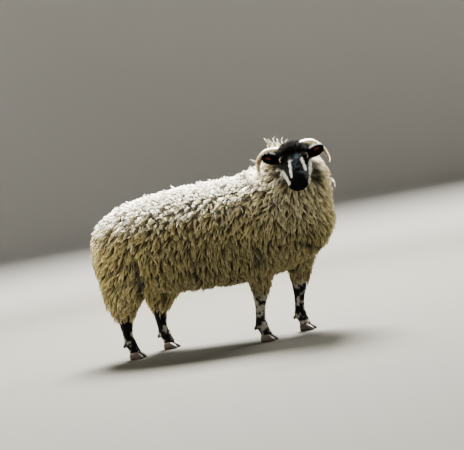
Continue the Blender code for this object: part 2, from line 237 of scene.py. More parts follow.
# %% [markdown]
# ## The head's own axes
#
# Face, eyes, ears and horns are easier to shape in axes that turn with the head: x towards the muzzle, y
# towards her left, z towards the crown. The two eyeballs of the frame fix the place and the turn, and the
# drop of the muzzle completes it. A second set of axes turns with the head but stays level, for things
# that hang or are placed by height.

# %% Head axes
HEAD_DROP = math.radians(50.0)
EYE_RADIUS = 0.0135
EYE_OFFSET = Vector((0.0045, 0.0460, 0.0115))  # of her left eye, in the head's axes


def middle_of(node):
    low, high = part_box(node)
    return (low + high) / 2


between_eyes = middle_of("eye_left") - middle_of("eye_right")
HEAD_TURN = math.atan2(between_eyes.y, between_eyes.x) - math.pi / 2
LEVEL_TURN = Matrix.Rotation(HEAD_TURN, 4, "Z")
DROP = Matrix.Rotation(HEAD_DROP, 4, "Y")
eye_shift = LEVEL_TURN @ DROP @ Vector((EYE_OFFSET.x, 0.0, EYE_OFFSET.z))
HEAD_PLACE = (middle_of("eye_left") + middle_of("eye_right")) / 2 - eye_shift
HEAD = Matrix.Translation(HEAD_PLACE) @ LEVEL_TURN @ DROP
HEAD_LEVEL = Matrix.Translation(HEAD_PLACE) @ LEVEL_TURN
FACING = np.array(HEAD_LEVEL.to_3x3() @ Vector((1, 0, 0)))  # the way she looks, level
print("head at", [round(v, 3) for v in HEAD_PLACE], "turned", round(math.degrees(HEAD_TURN), 1))

# %% [markdown]
# ## The form under the wool
#
# The fleece of a hill ewe is thick, so the body inside it is much slimmer than the outline. The frame's
# trunk, neck, tail and legs are merged and softened into one outer form, which the tips of the wool will
# reach. Pushed inwards by the depth of the coat, the same form becomes the skin. The depth is small
# on the tail and fades out down the legs.

# %% Outer form
WOOLLY = ["trunk", "neck", "tail"] + [f"leg_{end}_{side}" for end in ("front", "hind") for side in SIDES]
FLESH = WOOLLY + ["head", "ear_left", "ear_right"]
OUTER_VOXEL = 0.008


def merged_copy(name, nodes):
    """One object with closed copies of the frame's solids."""
    bm = bmesh.new()
    for node in nodes:
        part = bmesh.new()
        part.from_mesh(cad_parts[node].data)
        bmesh.ops.remove_doubles(part, verts=part.verts, dist=0.00002)
        mesh = bpy.data.meshes.new("part")
        part.to_mesh(mesh)
        part.free()
        bm.from_mesh(mesh)
        bpy.data.meshes.remove(mesh)
    return from_bmesh(name, bm)


def remeshed(obj, voxel, smoothing):
    """Joins what overlaps into one even surface, and softens it."""
    remesh = obj.modifiers.new("remesh", "REMESH")
    remesh.mode = "VOXEL"
    remesh.voxel_size = voxel
    smooth = obj.modifiers.new("smooth", "SMOOTH")
    smooth.factor = 0.5
    smooth.iterations = smoothing
    return settled(obj)


outer = remeshed(merged_copy("outer_form", WOOLLY), OUTER_VOXEL, 8)
outer_tree = tree_of(outer)
outer_mesh = outer.data.copy()
bpy.data.objects.remove(outer)
print("outer form", len(outer_mesh.polygons), "faces")


def nearest_outer(points):
    """Nearest points of the outer form, with the outward normals there."""
    found = [outer_tree.find_nearest(point)[:2] for point in points]
    return np.array([f[0] for f in found]), np.array([f[1] for f in found])


# %% Depth of the coat
WOOL_DEPTH = 0.036
LEG_WOOL_DEPTH = 0.007
TAIL_WOOL_DEPTH = 0.015
SKIN_VOXEL = 0.0085
FORE_HEM, HIND_HEM = 0.212, 0.188  # the fleece ends this high up the legs
FOOT_TO_SHANK = 0.016  # the leg's middle line stands this far behind the middle of the foot


def foot_middle(end, side):
    """The place midway between the two claws of a foot."""
    return middle_of(f"claw_{end}_{side}_inner") * 0.5 + middle_of(f"claw_{end}_{side}_outer") * 0.5


FORE_FEET = {side: foot_middle("front", side) for side in SIDES}
HIND_FEET = {side: foot_middle("hind", side) for side in SIDES}


def from_leg(points):
    """Distance across from the nearest leg's middle line, at each point's height."""
    spread = np.full(len(points), 1e9)
    for feet, lean in ((FORE_FEET, 0.10), (HIND_FEET, 0.22)):
        for foot in feet.values():
            x = foot.x - FOOT_TO_SHANK + np.clip(points[:, 2] - 0.10, 0, 1) * lean
            spread = np.minimum(spread, np.hypot(points[:, 0] - x, points[:, 1] - foot.y))
    return spread


def coat_depth(points):
    """How far the skin lies inside the outer form."""
    low = smoothstep(0.150, 0.400, points[:, 2])
    on_leg = 1.0 - smoothstep(0.065, 0.120, from_leg(points))
    depth = mix(WOOL_DEPTH, mix(LEG_WOOL_DEPTH, WOOL_DEPTH, low), on_leg)
    tail = smoothstep(-0.535, -0.560, points[:, 0])
    return mix(depth, TAIL_WOOL_DEPTH, tail)


body = add_object("body_core", outer_mesh)
normals = points_of(body.data, "normal")
points = points_of(body.data)
move_points(body.data, points - normals * coat_depth(points)[:, None])
remeshed(body, SKIN_VOXEL, 6)
print("body core", len(body.data.polygons), "faces")

# %% [markdown]
# ## Lower legs
#
# Below the wool a sheep's leg is thin and hard: a flat cannon bone with a sinew behind it, a knuckle at the
# fetlock, and a short sloping pastern that splits into two toes. Each leg is lofted through rings, and the
# ring's outline carries the sinew and the cleft.

# %% Rings of the legs
FORE_LEG = (  # ahead, height, half width, half depth, sinew
    (0.026, 0.250, 0.030, 0.034, 0.0),
    (0.024, 0.220, 0.029, 0.033, 0.0),
    (0.021, 0.196, 0.0265, 0.0300, 0.1),
    (0.018, 0.176, 0.0235, 0.0270, 0.4),
    (0.013, 0.152, 0.0180, 0.0215, 0.8),
    (0.008, 0.125, 0.0160, 0.0190, 1.0),
    (0.005, 0.103, 0.0162, 0.0190, 1.0),
    (0.003, 0.087, 0.0185, 0.0205, 0.7),
    (0.003, 0.073, 0.0218, 0.0238, 0.3),
    (0.006, 0.061, 0.0208, 0.0222, 0.1),
    (0.011, 0.049, 0.0202, 0.0206, 0.0),
    (0.014, 0.040, 0.0215, 0.0214, 0.0),
    (0.016, 0.032, 0.0232, 0.0226, 0.0),
    (0.017, 0.026, 0.0225, 0.0220, 0.0),
)
HIND_LEG = (
    (0.000, 0.250, 0.040, 0.050, 0.0),
    (-0.001, 0.225, 0.036, 0.046, 0.1),
    (-0.003, 0.196, 0.0295, 0.0370, 0.3),
    (-0.004, 0.168, 0.0240, 0.0310, 0.6),
    (-0.005, 0.142, 0.0205, 0.0260, 0.9),
    (-0.006, 0.114, 0.0175, 0.0205, 1.0),
    (-0.005, 0.092, 0.0180, 0.0205, 0.9),
    (-0.002, 0.073, 0.0218, 0.0238, 0.3),
    (0.003, 0.061, 0.0208, 0.0222, 0.1),
    (0.008, 0.049, 0.0202, 0.0206, 0.0),
    (0.011, 0.040, 0.0215, 0.0214, 0.0),
    (0.013, 0.032, 0.0232, 0.0226, 0.0),
    (0.014, 0.026, 0.0225, 0.0220, 0.0),
)

print("rings of a foreleg", len(FORE_LEG), "and of a hind leg", len(HIND_LEG))


# %% Lower legs
def lower_leg(foot, table, foot_ahead):
    """One leg under a foot's middle: the sinew stands out behind, and the toes part at the bottom."""
    rows = catmull(table, 4)
    sinews = rows[:, 4]
    heights = rows[:, 1]

    def section(cosine, sine, index):
        # sine +1 is the front of the leg, -1 the back, cosine the sides
        wide = math.copysign(abs(cosine) ** 0.9, cosine)
        deep = sine
        behind = max(0.0, -sine)
        wide *= 1.0 - 0.30 * sinews[index] * math.exp(-(((sine + 0.55) / 0.16) ** 2))
        deep -= 0.10 * sinews[index] * behind**6
        cleft = max(0.0, min(1.0, (0.058 - heights[index]) / 0.02))
        deep *= 1.0 - 0.16 * cleft * math.exp(-((cosine / 0.20) ** 2)) * (1.0 if sine > 0 else 0.7)
        return wide, deep

    stations = [(foot.x - foot_ahead + row[0], foot.y, row[1], row[2], row[3]) for row in rows]
    return loft(stations, 36, section)


legs = bmesh.new()
for feet, table, ahead in ((FORE_FEET, FORE_LEG, 0.0265), (HIND_FEET, HIND_LEG, 0.0235)):
    for foot in feet.values():
        made = from_bmesh("leg", lower_leg(foot, table, ahead))
        legs.from_mesh(made.data)
        bpy.data.objects.remove(made)
legs = from_bmesh("lower_legs", legs)
print("lower legs", len(legs.data.polygons), "faces")

# %% [markdown]
# ## Head
#
# A sheep's face is a long wedge: broad between the eyes, a gently arched nose, thin mobile lips. The
# sections give the wedge. Near the eyes and the muzzle its faces are divided, because the features that
# come next need more points there.

# %% Head sections
HEAD_OUTLINE = (  # x, top, bottom, half width, how much narrower the underside is
    (-0.108, -0.0300, -0.046, 0.0120, 0.10),
    (-0.102, -0.0240, -0.050, 0.0220, 0.10),
    (-0.091, -0.0060, -0.067, 0.0410, 0.10),
    (-0.068, 0.0195, -0.082, 0.0580, 0.12),
    (-0.040, 0.0330, -0.089, 0.0650, 0.14),
    (-0.012, 0.0365, -0.087, 0.0660, 0.16),
    (0.014, 0.0352, -0.079, 0.0635, 0.16),
    (0.039, 0.0320, -0.069, 0.0580, 0.14),
    (0.061, 0.0290, -0.060, 0.0520, 0.12),
    (0.081, 0.0252, -0.053, 0.0470, 0.10),
    (0.099, 0.0200, -0.049, 0.0435, 0.10),
    (0.114, 0.0102, -0.046, 0.0405, 0.12),
    (0.124, -0.0015, -0.043, 0.0350, 0.12),
    (0.1305, -0.0125, -0.038, 0.0250, 0.12),
    (0.1330, -0.0200, -0.033, 0.0130, 0.10),
)


def head_form():
    bm = bmesh.new()
    rings = []
    for x, top, bottom, half, narrowing in catmull(HEAD_OUTLINE, 4):

        def place(cosine, sine):
            width = half * (1 - narrowing * (0.5 - 0.5 * sine))
            y = width * math.copysign(abs(cosine) ** 0.88, cosine)
            return Vector((x, y, (top + bottom) / 2 + sine * (top - bottom) / 2))

        rings.append(ring_of(bm, 64, place))
    return bridged(bm, rings, poked=True)


def divide_near(bm, centre, reach):
    """Divides the faces near a place, for detail there."""
    edges = [e for e in bm.edges if max((v.co - centre).length for v in e.verts) < reach]
    bmesh.ops.subdivide_edges(bm, edges=edges, cuts=1, use_grid_fill=True, smooth=0.0)


head_bm = head_form()
for out in SIDES.values():
    eye = Vector((EYE_OFFSET.x + 0.004, out * (EYE_OFFSET.y + 0.007), EYE_OFFSET.z + 0.004))
    divide_near(head_bm, eye, 0.034)
    divide_near(head_bm, eye, 0.025)
divide_near(head_bm, Vector((0.150, 0.0, -0.020)), 0.075)
divide_near(head_bm, Vector((0.150, 0.0, -0.016)), 0.046)
bmesh.ops.triangulate(head_bm, faces=[f for f in head_bm.faces if len(f.verts) > 4])
head = from_bmesh("head_form", head_bm)
print("head", len(head.data.polygons), "faces")

# %% [markdown]
# ## Features of the face
#
# A face could be sculpted by hand, but a script can say it more plainly: the features are named mounds and
# lines in the head's axes. A groove or a ridge is a line with a width and a height, and every point moves
# along its normal by how near it lies to the line. Brows, the crest of the cheek and the hollow before the
# eye come first, then nostrils, the split lip and the mouth.

# %% Mounds, ridges and grooves
def from_line(points, line):
    """Distance of every point from a line through stations."""
    best = np.full(len(points), 1e9)
    line = np.array(line, float)
    for start, end in zip(line, line[1:]):
        way = end - start
        share = np.clip((points - start) @ way / (way @ way), 0, 1)
        best = np.minimum(best, np.linalg.norm(points - start - share[:, None] * way, axis=1))
    return best


def ridge(points, line, width, height):
    """Height added near a line. A negative height is a groove."""
    return height * np.exp(-((from_line(points, line) / width) ** 2))


def mound(points, centre, radii, height):
    """Height added round a place. A negative height is a hollow."""
    away = (points - np.array(centre)) / np.array(radii)
    return height * np.exp(-(away**2).sum(axis=1))


def paired(shape, points, places, *sizes):
    """The same feature on both sides of the face."""
    total = 0.0
    for out in SIDES.values():
        flipped = np.array(places, float) * (1.0, out, 1.0)
        total = total + shape(points, flipped, *sizes)
    return total


print("a mound at its middle", mound(np.zeros((1, 3)), (0, 0, 0), (1, 1, 1), 1.0)[0])

# %% Relief of the face
CHEEK_CREST = ((0.006, 0.060, -0.016), (0.035, 0.055, -0.020), (0.066, 0.047, -0.024))
NOSE_EDGE = ((0.040, 0.016, 0.034), (0.090, 0.013, 0.026))
NOSE_BRIDGE = ((0.030, 0.0, 0.034), (0.080, 0.0, 0.028), (0.112, 0.0, 0.016))
NOSTRIL_WING = ((0.107, 0.0310, 0.0030), (0.119, 0.0220, 0.0045), (0.1285, 0.0105, -0.0080))
NOSTRIL = (
    (0.1125, 0.0320, -0.0055),
    (0.1215, 0.0245, -0.0045),
    (0.1280, 0.0150, -0.0110),
    (0.1305, 0.0110, -0.0165),
)
LIP_SPLIT = ((0.134, 0.0, -0.014), (0.134, 0.0, -0.031))
MOUTH = (
    (0.135, 0.0, -0.0310),
    (0.129, 0.021, -0.0325),
    (0.114, 0.038, -0.0330),
    (0.098, 0.043, -0.0330),
    (0.084, 0.044, -0.0350),
)
LOWER_LIP = tuple((x, y, z - 0.0045) for x, y, z in MOUTH)
THROAT = ((-0.060, 0.0, -0.090), (0.080, 0.0, -0.055))


def face_relief(p):
    """How far each point of the head moves out along its normal."""
    rise = paired(mound, p, (-0.008, 0.046, 0.026), (0.022, 0.015, 0.014), 0.0030)  # brows
    rise += paired(mound, p, (0.028, 0.046, 0.012), (0.013, 0.012, 0.011), -0.0030)  # before the eyes
    rise += paired(mound, p, (-0.022, 0.058, -0.044), (0.036, 0.022, 0.032), 0.0035)  # cheeks
    rise += paired(ridge, p, CHEEK_CREST, 0.008, 0.0022)
    rise += paired(mound, p, (0.060, 0.043, 0.006), (0.032, 0.013, 0.013), -0.0040)  # flat of the nose
    rise += paired(ridge, p, NOSE_EDGE, 0.008, 0.0012)
    rise += ridge(p, NOSE_BRIDGE, 0.016, 0.0022)
    rise += mound(p, (-0.034, 0.0, 0.038), (0.024, 0.030, 0.012), 0.0030)  # crown
    rise += mound(p, (0.010, 0.0, 0.037), (0.014, 0.016, 0.012), -0.0018)  # dip between the eyes
    rise += paired(mound, p, (0.118, 0.036, -0.020), (0.018, 0.014, 0.013), 0.0026)  # upper lip
    rise += paired(ridge, p, NOSTRIL_WING, 0.0045, 0.0020)
    rise += paired(ridge, p, NOSTRIL, 0.0026, -0.0055)
    rise += ridge(p, LIP_SPLIT, 0.0018, -0.0018)
    rise += paired(ridge, p, MOUTH, 0.0019, -0.0034)
    rise += paired(ridge, p, LOWER_LIP, 0.0040, 0.0013)
    rise += mound(p, (0.116, 0.0, -0.052), (0.020, 0.020, 0.010), 0.0030)  # chin
    rise += ridge(p, THROAT, 0.014, -0.0050)
    return rise


head_points = points_of(head.data)
head_normals = points_of(head.data, "normal")
head_points = head_points + head_normals * face_relief(head_points)[:, None]
print("deepest groove", round(float(face_relief(head_points).min()), 4))

# %% [markdown]
# ## Eyelids
#
# A lid is a thin fold drawn over the ball of the eye, so it is shaped from the ball: a mound a little larger
# than the eyeball, opened by an almond where the surface sinks behind it. A crease over the upper lid and a
# tilt of the almond, lower in front, make it a sheep's eye and not a bead.

# %% Eyelids
EYE_AXIS = Vector((0.36, 0.80, 0.48)).normalized()
SLIT_TILT = math.radians(-14.0)
EYE_HALF_LONG = 0.0112
EYE_HALF_HIGH = 0.0060
LID_THICKNESS = 0.0022
LID_SOFTNESS = 0.0030
CREASE_RADIUS = 0.0162
BEHIND_LIDS = 0.0035  # the skin inside the almond sinks this far below the eyeball


def eye_frame(out):
    """Centre, outward axis, direction along the lids (forwards) and across them (up), in head axes."""
    centre = np.array((EYE_OFFSET.x, out * EYE_OFFSET.y, EYE_OFFSET.z))
    axis = np.array((EYE_AXIS.x, out * EYE_AXIS.y, EYE_AXIS.z))
    ahead = unit(np.array((math.cos(SLIT_TILT), 0.0, math.sin(SLIT_TILT))))
    ahead = unit(ahead - axis * (ahead @ axis))
    up = np.cross(ahead, axis) * out
    up = unit(up * (1.0 if up[2] > 0 else -1.0))
    return centre, axis, ahead, up


def shape_lids(p):
    """Raises the lids round both eyes and opens them."""
    for out in SIDES.values():
        centre, axis, ahead, up = eye_frame(out)
        d = p - centre
        q, u, v = d @ axis, d @ ahead, d @ up
        rho = np.hypot(u, v)
        zone = (q > -0.010) & (rho < 0.034)
        lid = EYE_RADIUS + LID_THICKNESS + 0.0010 * smoothstep(0.003, 0.010, v)
        dome = np.where(rho < lid, np.sqrt(np.maximum(lid**2 - rho**2, 0.0)), -(rho - lid) * 1.6)
        raised = LID_SOFTNESS * np.logaddexp(q / LID_SOFTNESS, dome / LID_SOFTNESS)
        raised = mix(q, raised, 1.0 - smoothstep(0.022, 0.032, rho))
        crease = 0.0012 * np.exp(-(((rho - CREASE_RADIUS) / 0.0016) ** 2)) * smoothstep(-0.002, 0.006, v)
        raised = raised - crease
        almond = np.sqrt((u / EYE_HALF_LONG) ** 2 + (v / EYE_HALF_HIGH) ** 2)
        sunk = np.sqrt(np.maximum((EYE_RADIUS - BEHIND_LIDS) ** 2 - rho**2, 0.0))
        opened = mix(sunk, raised, smoothstep(0.90, 1.03, almond))
        p = np.where(zone[:, None], p + axis * (opened - q)[:, None], p)
    return p


head_points = shape_lids(head_points)
move_points(head.data, moved(HEAD, head_points))
print("lids", round(2000 * EYE_HALF_LONG, 1), "mm long")

# %% [markdown]
# ## Ears
#
# The ears are thin cupped leaves held out to the sides below the horns. Each is a flat loft, folded along
# its middle into a trough that opens forwards, and thinned towards its rim.

# %% Ears
EAR_LENGTH = 0.092
EAR_OUTLINE = (  # share of the length, half width, half thickness
    (0.00, 0.0160, 0.0080),
    (0.15, 0.0185, 0.0058),
    (0.38, 0.0222, 0.0038),
    (0.62, 0.0226, 0.0029),
    (0.84, 0.0172, 0.0023),
    (0.96, 0.0090, 0.0018),
    (1.00, 0.0025, 0.0009),
)
EAR_ROOT = Vector((-0.044, 0.054, 0.004))  # of her left ear, in the level axes
EAR_SPREAD, EAR_DROOP, EAR_CUP = math.radians(58.0), math.radians(-20.0), math.radians(68.0)


def ear_matrix(out):
    """From an ear's own axes, x along it and z out of its back, to the scene's."""
    place = Matrix.Translation(HEAD_LEVEL @ Vector((EAR_ROOT.x, out * EAR_ROOT.y, EAR_ROOT.z)))
    turn = Matrix.Rotation(HEAD_TURN + out * EAR_SPREAD, 4, "Z")
    tilt = Matrix.Rotation(EAR_DROOP, 4, "Y")
    cup = Matrix.Rotation(-out * EAR_CUP, 4, "X")
    return place @ turn @ tilt @ cup


def ear_top(out):
    """+1 or -1: the side of the ear's own middle line that is the upper one."""
    return math.copysign(1.0, (ear_matrix(out).to_3x3() @ Vector((0, 1, 0))).z)


def ear_half_width(along):
    """Half the ear's width at each distance from its root."""
    return np.interp(along / EAR_LENGTH, [row[0] for row in EAR_OUTLINE], [row[1] for row in EAR_OUTLINE])


def even(cosine, sine, index):
    """A plain oval section."""
    return cosine, sine


ears = bmesh.new()
for out in SIDES.values():
    rows = [(share * EAR_LENGTH, 0.0, 0.0, half, thick) for share, half, thick in catmull(EAR_OUTLINE, 6)]
    ear = from_bmesh("ear", loft(rows, 32, even))
    spots = points_of(ear.data)
    share = spots[:, 0] / EAR_LENGTH
    inside = mix(1.0, 0.35, smoothstep(0.0, 0.3, share) * (1 - smoothstep(0.7, 1.0, share)))
    spots[:, 2] = spots[:, 2] * inside + 0.002 - 12.0 * spots[:, 1] ** 2 - 0.008 * share**2
    move_points(ear.data, moved(ear_matrix(out), spots))
    ears.from_mesh(ear.data)
    bpy.data.objects.remove(ear)
ears = from_bmesh("ears", ears)
print("ears", len(ears.data.polygons), "faces")

# %% [markdown]
# ## One skin
#
# Body, legs, head and ears are united into a single closed skin, so that no seam shows where the hair is
# short. It stands for every node of flesh.

# %% Unite the skin
def united(obj, other):
    """Joins two closed objects into one surface."""
    join = obj.modifiers.new("unite", "BOOLEAN")
    join.operation = "UNION"
    join.object = other
    join.solver = "EXACT"
    settled(obj)
    bpy.data.objects.remove(other)
    return obj


head_tree, ear_tree = tree_of(head), tree_of(ears)
skin = body
skin.name = "skin"
united(skin, legs)
united(skin, head)
united(skin, ears)
skin.data.shade_smooth()
skin_triangles = sum(len(face.vertices) - 2 for face in skin.data.polygons)
print("skin", skin_triangles, "triangles")

# %% [markdown]
# ## Smooth random numbers
#
# Hair never grows in perfect order. A small lattice noise gives smooth random numbers in space, the same on
# every run, for the mottled legs, the ragged edges of the markings and the drift of the wool.

# %% Lattice noise
def cloud(points, size, seed=0):
    """Smooth random numbers from 0 to 1 that change over the given size."""
    spot = np.asarray(points, float) / size + seed * 17.31
    cell = np.floor(spot).astype(np.int64)
    part = spot - cell
    part = part * part * (3.0 - 2.0 * part)
    total = np.zeros(len(spot))
    for corner in np.ndindex(2, 2, 2):
        key = (cell + corner) @ np.array([73856093, 19349663, 83492791])
        key = (key ^ (key >> 13)) * 1274126177 & 0x7FFFFFFF
        key = (key ^ (key >> 11)) * 668265263 & 0x7FFFFFFF
        value = ((key >> 7) & 0xFFFF) / 65535.0
        share = np.prod(np.where(corner, part, 1.0 - part), axis=1)
        total += value * share
    return total


print("noise at the origin", round(float(cloud([[0.01, 0.02, 0.03]], 0.1)[0]), 3))

# %% [markdown]
# ## Markings
#
# One set of functions says what colour the hair is at any place, and the skin and the tufts both ask it, so
# the marks agree. The face is black with two white bars down the nose, bluish flecks of painted sheen
# on the forehead and paler hair along the jaw. The legs are mottled black and white. Skin under the fleece
# is a dull fawn, darkened partly by grease and partly as painted shade of the deep coat, and it is paler
# on the back as painted light from above.

# %% Hair colours and where they go
BLACK = np.array((0.0014, 0.0014, 0.0016))
DARK_BROWN = np.array((0.0034, 0.0024, 0.0016))
LEG_BLACK = BLACK * 3.8
WHITE = np.array((0.84, 0.85, 0.85))
PAINTED_SHEEN_BLUE = np.array((0.13, 0.20, 0.235))
JAW_GREY = np.array((0.42, 0.42, 0.38))
EAR_PINK = np.array((0.20, 0.050, 0.028))
# Skin under the fleece: FAWN is grease stain and painted shade of the coat; PALE_FAWN is painted light.
FAWN = np.array((0.15, 0.11, 0.060))
PALE_FAWN = np.array((0.52, 0.47, 0.37))
LEG_WHITE = np.array((0.38, 0.36, 0.31))
HAIR_ABOVE_HEM = 0.020  # short hair goes on this far under the edge of the wool


def below_hem(points, margin=0.0):
    """True on the lower legs, which the fleece leaves bare."""
    return points[:, 2] < np.where(points[:, 0] > 0, FORE_HEM, HIND_HEM) + margin


def touching(tree, points, reach=0.0022):
    """True for the points that lie on a surface."""
    return np.array([tree.find_nearest(point, reach)[0] is not None for point in points])


def bar(flat, start, end, width, ragged):
    """1 inside a soft-edged bar drawn on the front of the face."""
    gap = from_line(flat, ((*start, 0.0), (*end, 0.0))) + (ragged - 0.5) * 0.0045
    return 1.0 - smoothstep(width / 2 - 0.0012, width / 2 + 0.0012, gap)


def paint(colour, paint_colour, share):
    """Lays one colour over an array of them, as thick as its share."""
    colour[:] = mix(colour, np.array(paint_colour), np.asarray(share, float)[:, None])


print("skin of the legs bare below", FORE_HEM, "and", HIND_HEM)

# %% Colours of the face
WHITE_BARS = (  # across and up from between the eyes: start, end, width
    ((-0.0185, -0.003), (-0.0215, -0.028), 0.0090),
    ((-0.0215, -0.028), (-0.0228, -0.064), 0.0080),
    ((0.0300, -0.003), (0.0345, -0.022), 0.0092),
    ((0.0345, -0.022), (0.0375, -0.047), 0.0086),
)
JAW_BARS = (
    ((-0.0530, -0.044), (-0.0380, -0.090), 0.0150),
    ((0.0680, -0.024), (0.0500, -0.112), 0.0240),
)
# Flecks of painted sheen: bluish reflections on the black hair of the forehead and nose.
PAINTED_SHEEN_FLECKS = (  # middle, reach, how strong
    ((0.016, 0.012, 0), (0.012, 0.007, 1), 1.1),
    ((-0.013, 0.004, 0), (0.008, 0.008, 1), 0.9),
    ((0.004, -0.030, 0), (0.012, 0.022, 1), 0.22),
    ((0.024, -0.052, 0), (0.012, 0.008, 1), 0.35),
)


def paint_face(colour, points, normals, on_head, fine):
    """Black, browner on the crown, with pale jaws, a painted bluish sheen and the white bars over all."""
    in_head = moved(HEAD.inverted(), points)
    level = moved(HEAD_LEVEL.inverted(), points)
    flat = np.stack([level[:, 1], level[:, 2], level[:, 2] * 0], axis=1)
    forward = normals @ FACING
    coarse = cloud(points, 0.017, 4)
    paint(colour, BLACK, on_head)
    crown = smoothstep(0.012, -0.010, in_head[:, 0]) * smoothstep(0.012, 0.030, in_head[:, 2])
    paint(colour, DARK_BROWN, on_head * crown * fine)
    jaw = smoothstep(-0.034, -0.048, in_head[:, 2] + (fine - 0.5) * 0.010)
    jaw *= smoothstep(-0.020, 0.012, in_head[:, 0])
    jaw *= 1.0 - smoothstep(0.098, 0.116, in_head[:, 0] + (coarse - 0.5) * 0.012)
    paint(colour, JAW_GREY, on_head * jaw * mix(0.45, 1.0, fine))
    side_on = on_head * smoothstep(-0.75, -0.45, forward)
    for start, end, width in JAW_BARS:
        paint(colour, JAW_GREY * 1.25, side_on * bar(flat, start, end, width, fine))
    front = on_head * smoothstep(0.10, 0.30, forward)
    # Painted sheen: bluish flecks on the front of the face.
    speck = smoothstep(0.38, 0.66, fine)
    for middle, reach, strength in PAINTED_SHEEN_FLECKS:
        paint(colour, PAINTED_SHEEN_BLUE, front * speck * mound(flat, middle, reach, strength))
    for start, end, width in WHITE_BARS:
        paint(colour, WHITE, front * bar(flat, start, end, width, fine))


print(len(WHITE_BARS) + len(JAW_BARS), "bars on the face")

# %% Colours of the ears and the legs
def paint_ears(colour, points, normals, on_ear, fine):
    """Black, a pink trough, and a painted white highlight on the upper rim, full on her left ear only."""
    paint(colour, BLACK, on_ear)
    for out in SIDES.values():
        spot = moved(ear_matrix(out).inverted(), points)
        near = on_ear & (np.abs(spot[:, 1]) < 0.03) & (spot[:, 0] > -0.02) & (spot[:, 0] < EAR_LENGTH + 0.01)
        inward = normals @ np.array(ear_matrix(out).to_3x3() @ Vector((0, 0, -1)))
        trough = smoothstep(0.0070, 0.0030, np.abs(spot[:, 1] + 0.002))
        trough *= smoothstep(0.042, 0.052, spot[:, 0])
        trough *= 1.0 - smoothstep(0.064, 0.074, spot[:, 0])
        paint(colour, EAR_PINK, near * trough * smoothstep(0.2, 0.6, inward) * smoothstep(0.25, 0.7, fine))
        # Painted highlight: white along the upper rim of the ear.
        to_rim = spot[:, 1] * ear_top(out) / ear_half_width(spot[:, 0])
        rim = smoothstep(0.72, 0.86, to_rim) * smoothstep(0.020, 0.036, spot[:, 0])
        speckled = smoothstep(0.30, 0.55, fine) * 0.5
        paint(colour, WHITE, near * np.clip(rim, 0, 1) * (0.95 if out > 0 else speckled))


def paint_legs(colour, points, on_leg, fine):
    """Mottled black and white: blacker on the hind legs and at the feet, whiter high on the forelegs."""
    patches = cloud(points, 0.024, 7) * 0.50 + cloud(points, 0.009, 8) * 0.50
    blacker = np.where(points[:, 0] < 0, 0.10, 0.0) + np.where(points[:, 2] < 0.06, 0.06, 0.0)
    blacker -= np.where(points[:, 0] < 0, 0.0, 0.05) * smoothstep(0.13, 0.18, points[:, 2])
    white = smoothstep(0.50, 0.57, patches - blacker)
    paint(colour, LEG_BLACK, on_leg)
    paint(colour, LEG_WHITE, on_leg * white * mix(0.65, 1.0, fine))


def short_hair_colour(points, normals):
    """Colours of the face, ears and legs, and of the skin under the fleece."""
    # Skin that faces up high on the back is paler: painted light from above.
    painted_top_light = smoothstep(0.2, 0.7, normals[:, 2]) * smoothstep(0.40, 0.50, points[:, 2])
    colour = mix(np.tile(FAWN, (len(points), 1)), PALE_FAWN, painted_top_light[:, None])
    fine = cloud(points, 0.006, 3)
    on_head = touching(head_tree, points)
    paint_face(colour, points, normals, on_head, fine)
    paint_ears(colour, points, normals, touching(ear_tree, points) & ~on_head, fine)
    paint_legs(colour, points, below_hem(points, HAIR_ABOVE_HEM) & ~on_head, fine)
    return colour


print("markings ready")

# %% [markdown]
# ## Materials
#
# Every piece carries its colours as an attribute named tint, which its material reads. The hair's shader
# adds only what is too fine to model: a fleck of noise and a bump. Horn and claw have a duller gloss, and
# the eye gets a material of its own later.

# %% A material that reads the tint
def noise_of(tree, vector, size, detail):
    """A noise pattern of the given size in metres."""
    noise = tree.nodes.new("ShaderNodeTexNoise")
    noise.inputs["Scale"].default_value = 1.0 / size
    noise.inputs["Detail"].default_value = detail
    tree.links.new(vector, noise.inputs["Vector"])
    return noise.outputs["Fac"]


def tinted_material(
    name, roughness, fleck_size, fleck, bump_size=0.0, bump_height=0.0, sheen=0.0, gloss=0.5
):
    """A Principled material that takes its colour from the tint attribute, with fine flecks."""
    material = bpy.data.materials.new(name)
    material.use_nodes = True
    tree = material.node_tree
    shader = tree.nodes["Principled BSDF"]
    shader.inputs["Roughness"].default_value = roughness
    shader.inputs["Sheen Weight"].default_value = sheen
    shader.inputs["Sheen Roughness"].default_value = 0.5
    shader.inputs["Specular IOR Level"].default_value = gloss
    tint = tree.nodes.new("ShaderNodeAttribute")
    tint.attribute_name = "tint"
    place = tree.nodes.new("ShaderNodeTexCoord").outputs["Object"]
    span = tree.nodes.new("ShaderNodeMapRange")
    span.inputs["From Min"].default_value = 0.3
    span.inputs["From Max"].default_value = 0.7
    span.inputs["To Min"].default_value = 1.0 - fleck
    span.inputs["To Max"].default_value = 1.0 + fleck
    shade = tree.nodes.new("ShaderNodeMix")
    shade.data_type = "RGBA"
    shade.blend_type = "MULTIPLY"
    shade.inputs["Factor"].default_value = 1.0
    tree.links.new(noise_of(tree, place, fleck_size, 3.0), span.inputs["Value"])
    tree.links.new(tint.outputs["Color"], shade.inputs[6])
    tree.links.new(span.outputs["Result"], shade.inputs[7])
    tree.links.new(shade.outputs[2], shader.inputs["Base Color"])
    if bump_height:
        bump = tree.nodes.new("ShaderNodeBump")
        bump.inputs["Strength"].default_value = 0.7
        bump.inputs["Distance"].default_value = bump_height
        tree.links.new(noise_of(tree, place, bump_size, 4.0), bump.inputs["Height"])
        tree.links.new(bump.outputs["Normal"], shader.inputs["Normal"])
    return material


